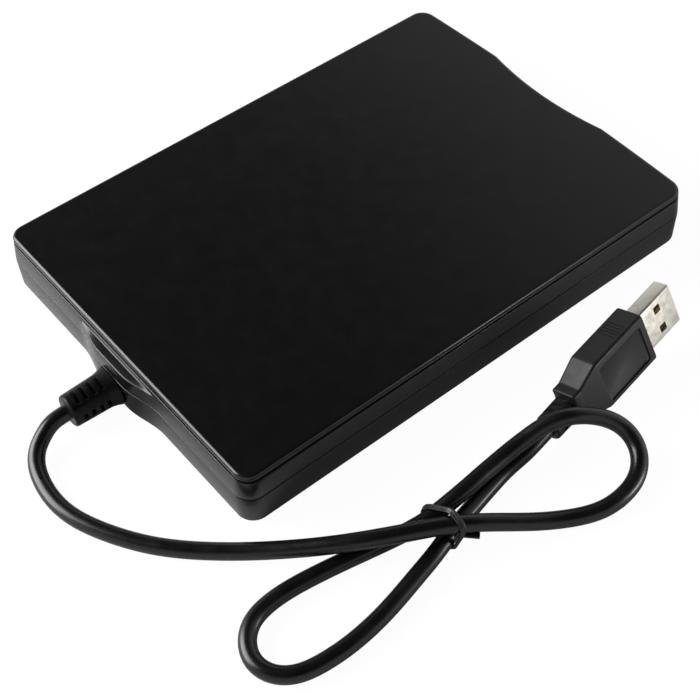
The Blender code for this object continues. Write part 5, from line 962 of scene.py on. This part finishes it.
# Feet: four round pads of black rubber, pressed into seats in the bottom. The rim is
# rounded, and the middle is a little hollow where the rubber shrank in its mould.
FOOT_SPANS = ((0.0015, 0.0040), (0.0015, 0.00445), (0.0014, 0.0045), (0.0003, 0.0045),
              (0.0001, 0.00438), (0.0, 0.0042), (0.0, 0.0026), (0.0002, 0.0024), (0.0002, 0.0012))


def middle_of(node):
    """Middle of a solid's box, as x and y in the frame of the case's rim."""
    box_low, box_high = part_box(node)
    return (box_low.x + box_high.x) / 2, (box_low.y + box_high.y) / 2 - MIDDLE_Y


foot_rubber = clouded("foot_rubber", (0.022, 0.022, 0.023), 0.72, (0.002, 3.0, 0.06),
                      (0.0011, 4.0, (0.036, 0.035, 0.034)), (0.0004, 3.0, 0.00003), specular=0.35)
for corner in ("front_left", "front_right", "rear_left", "rear_right"):
    foot = make_piece("pad_" + corner, peg(middle_of("foot_" + corner), FOOT_SPANS, 64))
    settle(foot, foot_rubber.material, "case", "rubber_black", "foot_" + corner)

# Screws: zinc-plated pan-head screws, two through the bottom into the upper shell's
# bosses and two that hold the mechanism. Each is headed and thread-rolled from wire.
SCREW_HEAD = 0.002
SCREW_HEAD_TOP = 0.0014
SCREW_FACE = 0.0008
SCREW_CREST = 0.001
THREAD_PITCH = 0.0006
THREAD_DEPTH = 0.0002
CROSS_REACH = 0.0011
CROSS_HALF = 0.00022


def screw_rings(place, tip, sides=24):
    """Rings of a screw that stands on its head.

    The shank's radius is the crest less the thread's depth times a triangle wave, of
    the height in pitches less the angle's share of a turn. It tapers at the tip. Below
    it come the head's rings.
    """
    angle = np.linspace(0, 2 * math.pi, sides, endpoint=False)
    height = np.arange(tip, SCREW_HEAD_TOP, -THREAD_PITCH / 6)[:, None]
    wave = np.abs(((height / THREAD_PITCH - angle / (2 * math.pi)) % 1) * 2 - 1)
    radius = (SCREW_CREST - THREAD_DEPTH * wave) * np.clip(0.6 + (tip - height) / 0.0012, 0, 1)
    head = np.array([(SCREW_HEAD_TOP, SCREW_CREST * 0.9), (SCREW_HEAD_TOP, SCREW_HEAD * 0.96),
                     (SCREW_HEAD_TOP - 0.0001, SCREW_HEAD), (SCREW_FACE + 0.00028, SCREW_HEAD),
                     (SCREW_FACE + 0.00012, SCREW_HEAD * 0.955),
                     (SCREW_FACE + 0.00003, SCREW_HEAD * 0.88), (SCREW_FACE, SCREW_HEAD * 0.78)])
    radius = np.vstack([radius, head[:, 1:] + 0 * angle])
    height = np.vstack([height, head[:, :1]])
    return np.stack([place[0] + radius * np.cos(angle), place[1] + MIDDLE_Y + radius * np.sin(angle),
                     height + 0 * angle], axis=-1)


def cross_rings(place):
    """Two rings of twelve points in the shape of a plus, smaller at the recess's floor."""
    corner = np.array([(CROSS_REACH, CROSS_HALF), (CROSS_HALF, CROSS_HALF), (CROSS_HALF, CROSS_REACH)])
    ring = np.vstack([corner @ turned_about(2, 90 * quarter)[:2, :2].T for quarter in range(4)])
    middle = np.array(place) + (0, MIDDLE_Y)
    return np.stack([np.column_stack([middle + ring * size, np.full(12, z)])
                     for size, z in ((1.0, SCREW_FACE - 0.0004), (0.8, SCREW_FACE + 0.00042))])


zinc = clouded("bright_zinc", (0.58, 0.6, 0.62), 0.34, (0.0006, 3.0, 0.1),
               (0.0012, 3.0, (0.47, 0.49, 0.52), 0.45, 0.7), (0.0003, 3.0, 0.000006), metallic=1.0)
for use in ("case_screw", "drive_screw"):
    for side in ("left", "right"):
        node = use + "_" + side
        screw = make_piece(node + "_turned", skin_over(screw_rings(middle_of(node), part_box(node)[1].z)))
        carve(screw, make_piece("cross_tool", skin_over(cross_rings(middle_of(node)))))
        settle(screw, zinc.material, "case", "zinc_plate", node)

# Eject button: a dark grey ABS key on the slide's stem. Its face is dished for the
# finger, with soft edges, and it stands in the panel's window.
button_size = np.array(button_high) - np.array(button_low)
button_rows = [(0.00042, 0.25, 0.25), (0.00036, 0.5, 0.5), (0.0002, 0.76, 0.72), (0.00006, 0.88, 0.8)]
button_rows = [(depth, button_size[0] * wide_share, button_size[2] * high_share)
               for depth, wide_share, high_share in button_rows]
button_rows += [(0.0005 * (1 - math.cos(turn)), button_size[0] - 0.001 * (1 - math.sin(turn)),
                 button_size[2] - 0.001 * (1 - math.sin(turn))) for turn in edge_turn]
button_rows += [(button_size[1] - 0.0002, button_size[0], button_size[2]),
                (button_size[1], button_size[0] - 0.0004, button_size[2] - 0.0004)]
button_rows = np.array(button_rows)
button_skin = oblong_rings(*button_rows.T, np.minimum(0.0007, button_rows[:, 2] / 2.2), 6)
button_skin += ((button_low.x + button_high.x) / 2, button_low.y, (button_low.z + button_high.z) / 2)
button = make_piece("eject_key", skin_over(button_skin))
key_plastic = clouded("key_plastic", (0.03, 0.031, 0.033), 0.45, (0.002, 3.0, 0.06),
                      (0.0018, 3.0, (0.04, 0.041, 0.043)), (0.0003, 2.0, 0.00001))
settle(button, key_plastic.material, "eject_slide", "grey_plastic", "eject_button")

# Activity lens: a clear green light pipe of acrylic, pressed into the panel, with a low
# domed end that stands level with the panel's face.
lens_radius = (lens_high.x - lens_low.x) / 2
lens_share = np.array([0.15, 0.4, 0.65, 0.85, 0.96, 1.0, 1.0, 0.93])
lens_along = np.append(0.0004 * lens_share[:6] ** 2, [lens_high.y - lens_low.y - 0.0001,
                                                      lens_high.y - lens_low.y])
lens_skin = oblong_rings(lens_along, 2 * lens_radius * lens_share, 2 * lens_radius * lens_share,
                         lens_radius * lens_share, 9)
lens = make_piece("light_pipe", skin_over(
    lens_skin + ((lens_low.x + lens_high.x) / 2, lens_low.y, (lens_low.z + lens_high.z) / 2)))
green_acrylic = clouded("green_acrylic", (0.16, 0.72, 0.26), 0.12, (0.001, 2.0, 0.04),
                        (0.0014, 2.0, (0.1, 0.55, 0.17)))
green_acrylic.shader.inputs["Transmission Weight"].default_value = 0.85
green_acrylic.shader.inputs["IOR"].default_value = 1.49
settle(lens, green_acrylic.material, "case", "clear_green", "activity_lens")

# Return spring of the eject slide: a coil of thin spring wire that lies on the slide's
# cross bar, its last turns wound close.
SPRING_WIRE = 0.0002
SPRING_TURNS = 11


def coil_rings(box_low, box_high):
    """Rings of a coil about the Y axis.

    The wire's centre goes round at the coil's radius, and its y is half the step and
    half the soft step of it, so the end turns lie closer. A ring point is the centre
    plus the wire's radius times (a cosine outwards plus a sine along Y).
    """
    step = np.linspace(0, 1, SPRING_TURNS * 24 + 1)
    angle = 2 * math.pi * SPRING_TURNS * step
    radius = (box_high.x - box_low.x) / 2 - SPRING_WIRE
    out = np.column_stack([np.cos(angle), 0 * angle, np.sin(angle)])
    along_y = (box_low.y + SPRING_WIRE
               + (box_high.y - box_low.y - 2 * SPRING_WIRE) * (0.5 * step + 0.5 * soft_step(step)))
    centre = radius * out + np.column_stack([0 * step + (box_low.x + box_high.x) / 2, along_y,
                                             0 * step + (box_low.z + box_high.z) / 2])
    turn = np.linspace(0, 2 * math.pi, 10, endpoint=False)[None, :, None]
    return centre[:, None] + SPRING_WIRE * (np.cos(turn) * out[:, None]
                                            + np.sin(turn) * np.array((0, 1, 0)))


spring = make_piece("return_coil", skin_over(coil_rings(*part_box("eject_spring"))))
spring_steel = clouded("spring_steel", (0.42, 0.42, 0.43), 0.3, (0.0004, 3.0, 0.1),
                       (0.0009, 3.0, (0.33, 0.33, 0.35), 0.45, 0.7), metallic=1.0)
settle(spring, spring_steel.material, "eject_slide", "sheet_steel", "eject_spring")

# Dust door: a thin flap of black ABS behind the slot, hung on two moulded pins, and its
# torsion spring of drawn wire.
refinish(panel_finish, "dust_door")
refinish(spring_steel, "dust_door_spring")

# Mechanism's sheet parts: zinc-coated steel, punched and folded. The chassis and lid
# carry the grey flowers of the coating, and the sliding parts are rubbed along Y.
coated_sheet = Finish("coated_sheet", (0.6, 0.61, 0.62), 0.38, metallic=1.0)
flowers = coated_sheet.node("ShaderNodeTexVoronoi", Vector=coated_sheet.place, Scale=260.0)
coated_sheet.vary_roughness(coated_sheet.noise(0.003, 4.0), 0.1)
coated_sheet.tint(flowers.outputs["Color"], (0.5, 0.51, 0.53), 0.3, 0.8)
coated_sheet.relief(coated_sheet.noise(0.0006, 3.0), 0.000008)
refinish(coated_sheet, "drive_chassis", "drive_lid")
rubbed_sheet = Finish("rubbed_sheet", (0.56, 0.56, 0.57), 0.34, metallic=1.0)
rubs = rubbed_sheet.noise(0.0001, 3.0, scale=(1, 0.02, 1))
rubbed_sheet.vary_roughness(rubs, 0.1)
rubbed_sheet.tint(rubs, (0.52, 0.52, 0.535), 0.4, 0.7)
rubbed_sheet.relief(rubs, 0.0000015)
refinish(rubbed_sheet, "disk_carrier", "eject_slider", "screw_bracket", "ejector_lever")

# Rail, lead screw and pins: ground steel rod, with faint rings from the grinding. The
# lead screw's thread is rolled and holds a film of grease.
ground_rod = Finish("ground_rod", (0.66, 0.66, 0.67), 0.2, metallic=1.0)
grinding = ground_rod.noise(0.00025, 2.0, scale=(0.1, 1, 0.1))
ground_rod.vary_roughness(grinding, 0.07)
ground_rod.tint(ground_rod.noise(0.004, 3.0), (0.57, 0.57, 0.59), 0.45, 0.75)
refinish(ground_rod, "guide_rail", "lead_screw", "lever_pivot", "drive_pin")

# Spindle motor: a pressed zinc-plated rotor and a nickel-plated hub on a sintered brass
# bearing, over a stator wound with enamelled copper wire.
refinish(zinc, "rotor")
refinish(nickel, "spindle_hub", "crystal")
sintered_brass = clouded("sintered_brass", (0.62, 0.46, 0.2), 0.4, (0.0003, 3.0, 0.08),
                         (0.0004, 4.0, (0.45, 0.32, 0.14), 0.45, 0.7), metallic=1.0)
refinish(sintered_brass, "spindle_bearing")
wound_copper = Finish("wound_copper", (0.6, 0.24, 0.1), 0.32, metallic=0.8)
turns_of_wire = wound_copper.noise(0.00025, 1.0, scale=(0.3, 0.3, 2.0))
wound_copper.vary_roughness(turns_of_wire, 0.08)
wound_copper.tint(turns_of_wire, (0.36, 0.12, 0.05), 0.4, 0.65)
wound_copper.relief(turns_of_wire, 0.00003)
refinish(wound_copper, "stator")

# Stepper motor: a drawn can of bright zinc-plated steel, and on the lead screw its rotor,
# a ring of dark sintered ferrite.
refinish(zinc, "stepper_motor")
ferrite = clouded("ferrite", (0.045, 0.045, 0.048), 0.55, (0.0008, 3.0, 0.08),
                  (0.0005, 4.0, (0.075, 0.073, 0.072)), (0.0003, 2.0, 0.00001))
refinish(ferrite, "stepper_rotor")

# Circuit boards: glass-fibre epoxy under green solder mask, with the copper showing as
# lighter paths, and chips of black moulding compound.
solder_mask = Finish("solder_mask", (0.012, 0.12, 0.045), 0.32)
paths = solder_mask.node("ShaderNodeTexVoronoi", Vector=solder_mask.place, Scale=420.0)
paths.distance = "CHEBYCHEV"
solder_mask.vary_roughness(solder_mask.noise(0.003, 3.0), 0.06)
solder_mask.tint(paths.outputs["Distance"], (0.03, 0.2, 0.075), 0.35, 0.45)
solder_mask.relief(paths.outputs["Distance"], 0.00001)
refinish(solder_mask, "motor_board", "control_board", "interface_board")
chip_compound = clouded("chip_compound", (0.018, 0.018, 0.019), 0.62, (0.001, 3.0, 0.07),
                        (0.0006, 4.0, (0.03, 0.03, 0.031)), (0.00015, 2.0, 0.000006))
refinish(chip_compound, "control_chip", "interface_chip")

# Heads: the carriage and the arm are grey glass-filled plastic, and the two heads are
# ground blocks of dark ceramic.
filled_plastic = Finish("filled_plastic", (0.13, 0.13, 0.135), 0.5)
filled_plastic.vary_roughness(filled_plastic.noise(0.002, 3.0), 0.07)
filled_plastic.tint(filled_plastic.noise(0.0005, 4.0, scale=(1, 0.2, 1)), (0.17, 0.17, 0.175))
filled_plastic.relief(filled_plastic.noise(0.0003), 0.00001)
refinish(filled_plastic, "head_carriage", "head_arm")
head_ceramic = clouded("head_ceramic", (0.07, 0.068, 0.065), 0.22, (0.0008, 3.0, 0.06),
                       (0.0006, 3.0, (0.1, 0.098, 0.094)))
refinish(head_ceramic, "upper_head", "lower_head")

# Cables inside: an orange film ribbon with copper tracks along it, and the sheathed
# cable from the relief to the header.
ribbon_film = Finish("ribbon_film", (0.5, 0.17, 0.03), 0.3)
tracks = ribbon_film.node("ShaderNodeTexWave", Vector=ribbon_film.place, Scale=300.0)
ribbon_film.vary_roughness(ribbon_film.noise(0.002), 0.06)
ribbon_film.tint(tracks.outputs["Fac"], (0.34, 0.1, 0.02), 0.35, 0.65)
ribbon_film.relief(tracks.outputs["Fac"], 0.000015)
refinish(ribbon_film, "ribbon_cable")
inner_sheath = clouded("inner_sheath", (0.015, 0.015, 0.016), 0.42, (0.002, 3.0, 0.06),
                       (0.0015, 3.0, (0.024, 0.024, 0.025)), (0.0006, 2.0, 0.00001))
refinish(inner_sheath, "inner_cable")

# Table and light: a white table top that runs out of the picture, under soft studio
# light from the left and behind, with darker surroundings overhead.
TABLE_SIZE = 3.0
PAPER_GLOW = 0.92
PAPER_GLOW_MIRRORED = 0.06
KEY_POWER = 9.5
KEY_PLACE = (0.46, 0.5, 0.34)
KEY_SIZE = 0.6
PLUG_LIGHT_POWER = 0.08
PLUG_LIGHT_SIZE = 0.05
PLUG_LIGHT_PLACE = (-0.2085, -0.0975, 0.028)


def math_step(tree, operation, *values):
    """One arithmetic step on sockets or numbers, its result held between 0 and 1."""
    made = tree.nodes.new("ShaderNodeMath")
    made.operation = operation
    made.use_clamp = True
    for socket, value in zip(made.inputs, values):
        if isinstance(value, bpy.types.NodeSocket):
            tree.links.new(value, socket)
        else:
            socket.default_value = value
    return made.outputs[0]


def ray_flag(tree, name):
    """Socket that is 1 for rays of one kind and 0 for all others."""
    return tree.nodes.new("ShaderNodeLightPath").outputs["Is %s Ray" % name]


def seen_share(tree):
    """Sum of the camera, glossy and transmission ray flags, held to one."""
    first = math_step(tree, "ADD", ray_flag(tree, "Camera"), ray_flag(tree, "Glossy"))
    return math_step(tree, "ADD", first, ray_flag(tree, "Transmission"))


def blend_to_output(tree, share, first, second, output):
    """Send two shaders to a tree's output, the second one by the share."""
    blend = tree.nodes.new("ShaderNodeMixShader")
    for socket, source in zip(blend.inputs, (share, first.outputs[0], second.outputs[0])):
        tree.links.new(source, socket)
    tree.links.new(blend.outputs[0], tree.nodes[output].inputs["Surface"])


table = make_piece("table_top", skin_over(np.array(
    [[(x, y, z) for x, y in ((-TABLE_SIZE, -TABLE_SIZE), (TABLE_SIZE, -TABLE_SIZE),
                             (TABLE_SIZE, TABLE_SIZE), (-TABLE_SIZE, TABLE_SIZE))]
     for z in (-0.01, -0.00002)])))
paper = bpy.data.materials.new("table_paper")
paper.use_nodes = True
tree = paper.node_tree
matt = tree.nodes["Principled BSDF"]
matt.inputs["Base Color"].default_value = (0.85, 0.85, 0.85, 1.0)
matt.inputs["Roughness"].default_value = 0.9
matt.inputs["Specular IOR Level"].default_value = 0.2
glow = tree.nodes.new("ShaderNodeEmission")
glow.inputs["Strength"].default_value = 1.05
mirrored = math_step(tree, "MULTIPLY", seen_share(tree), PAPER_GLOW_MIRRORED)
paper_share = math_step(tree, "MULTIPLY_ADD", ray_flag(tree, "Camera"),
                        PAPER_GLOW - PAPER_GLOW_MIRRORED, mirrored)
blend_to_output(tree, paper_share, matt, glow, "Material Output")
table.data.materials.append(paper)


def soft_lamp(name, power, size, lamp_place, target):
    """A square soft lamp that faces its target.

    Its side way is its aim's cross product with the vertical, and its upper way is the
    side way's cross product with the aim.
    """
    lamp = bpy.data.lights.new(name, "AREA")
    lamp.energy, lamp.size = power, size
    aim = np.array(target) - lamp_place
    aim /= np.linalg.norm(aim)
    aim_side = np.cross(aim, (0, 0, 1))
    aim_side /= np.linalg.norm(aim_side)
    holder = bpy.data.objects.new(name, lamp)
    holder.matrix_world = standing_matrix((aim_side, np.cross(aim_side, aim), -aim), lamp_place)
    scene.collection.objects.link(holder)


soft_lamp("key_light", KEY_POWER, KEY_SIZE, KEY_PLACE, (0, 0, 0))
soft_lamp("plug_light", PLUG_LIGHT_POWER, PLUG_LIGHT_SIZE, PLUG_LIGHT_PLACE,
          in_plug(np.array((0, 0.006, 0))))

room = bpy.data.worlds.new("room")
room.use_nodes = True
scene.world = room
tree = room.node_tree
place = tree.nodes.new("ShaderNodeTexCoord")
split = tree.nodes.new("ShaderNodeSeparateXYZ")
tree.links.new(place.outputs["Generated"], split.inputs[0])


def fade(axis, start, end, low_value, high_value):
    """Map one part of the looking direction onto a brightness."""
    made = tree.nodes.new("ShaderNodeMapRange")
    for socket, value in zip(("From Min", "From Max", "To Min", "To Max"),
                             (start, end, low_value, high_value)):
        made.inputs[socket].default_value = value
    tree.links.new(split.outputs[axis], made.inputs["Value"])
    return made.outputs[0]


overhead = math_step(tree, "ADD", fade("Z", 0.2, 0.66, 0.7, 0.02), fade("Y", -0.44, -0.72, 0.0, 0.55))
seen = tree.nodes.new("ShaderNodeBackground")
tree.links.new(math_step(tree, "ADD", overhead, ray_flag(tree, "Camera")), seen.inputs["Color"])
unseen = tree.nodes.new("ShaderNodeBackground")
unseen.inputs["Color"].default_value = (0.16, 0.16, 0.165, 1.0)
blend_to_output(tree, seen_share(tree), unseen, seen, "World Output")
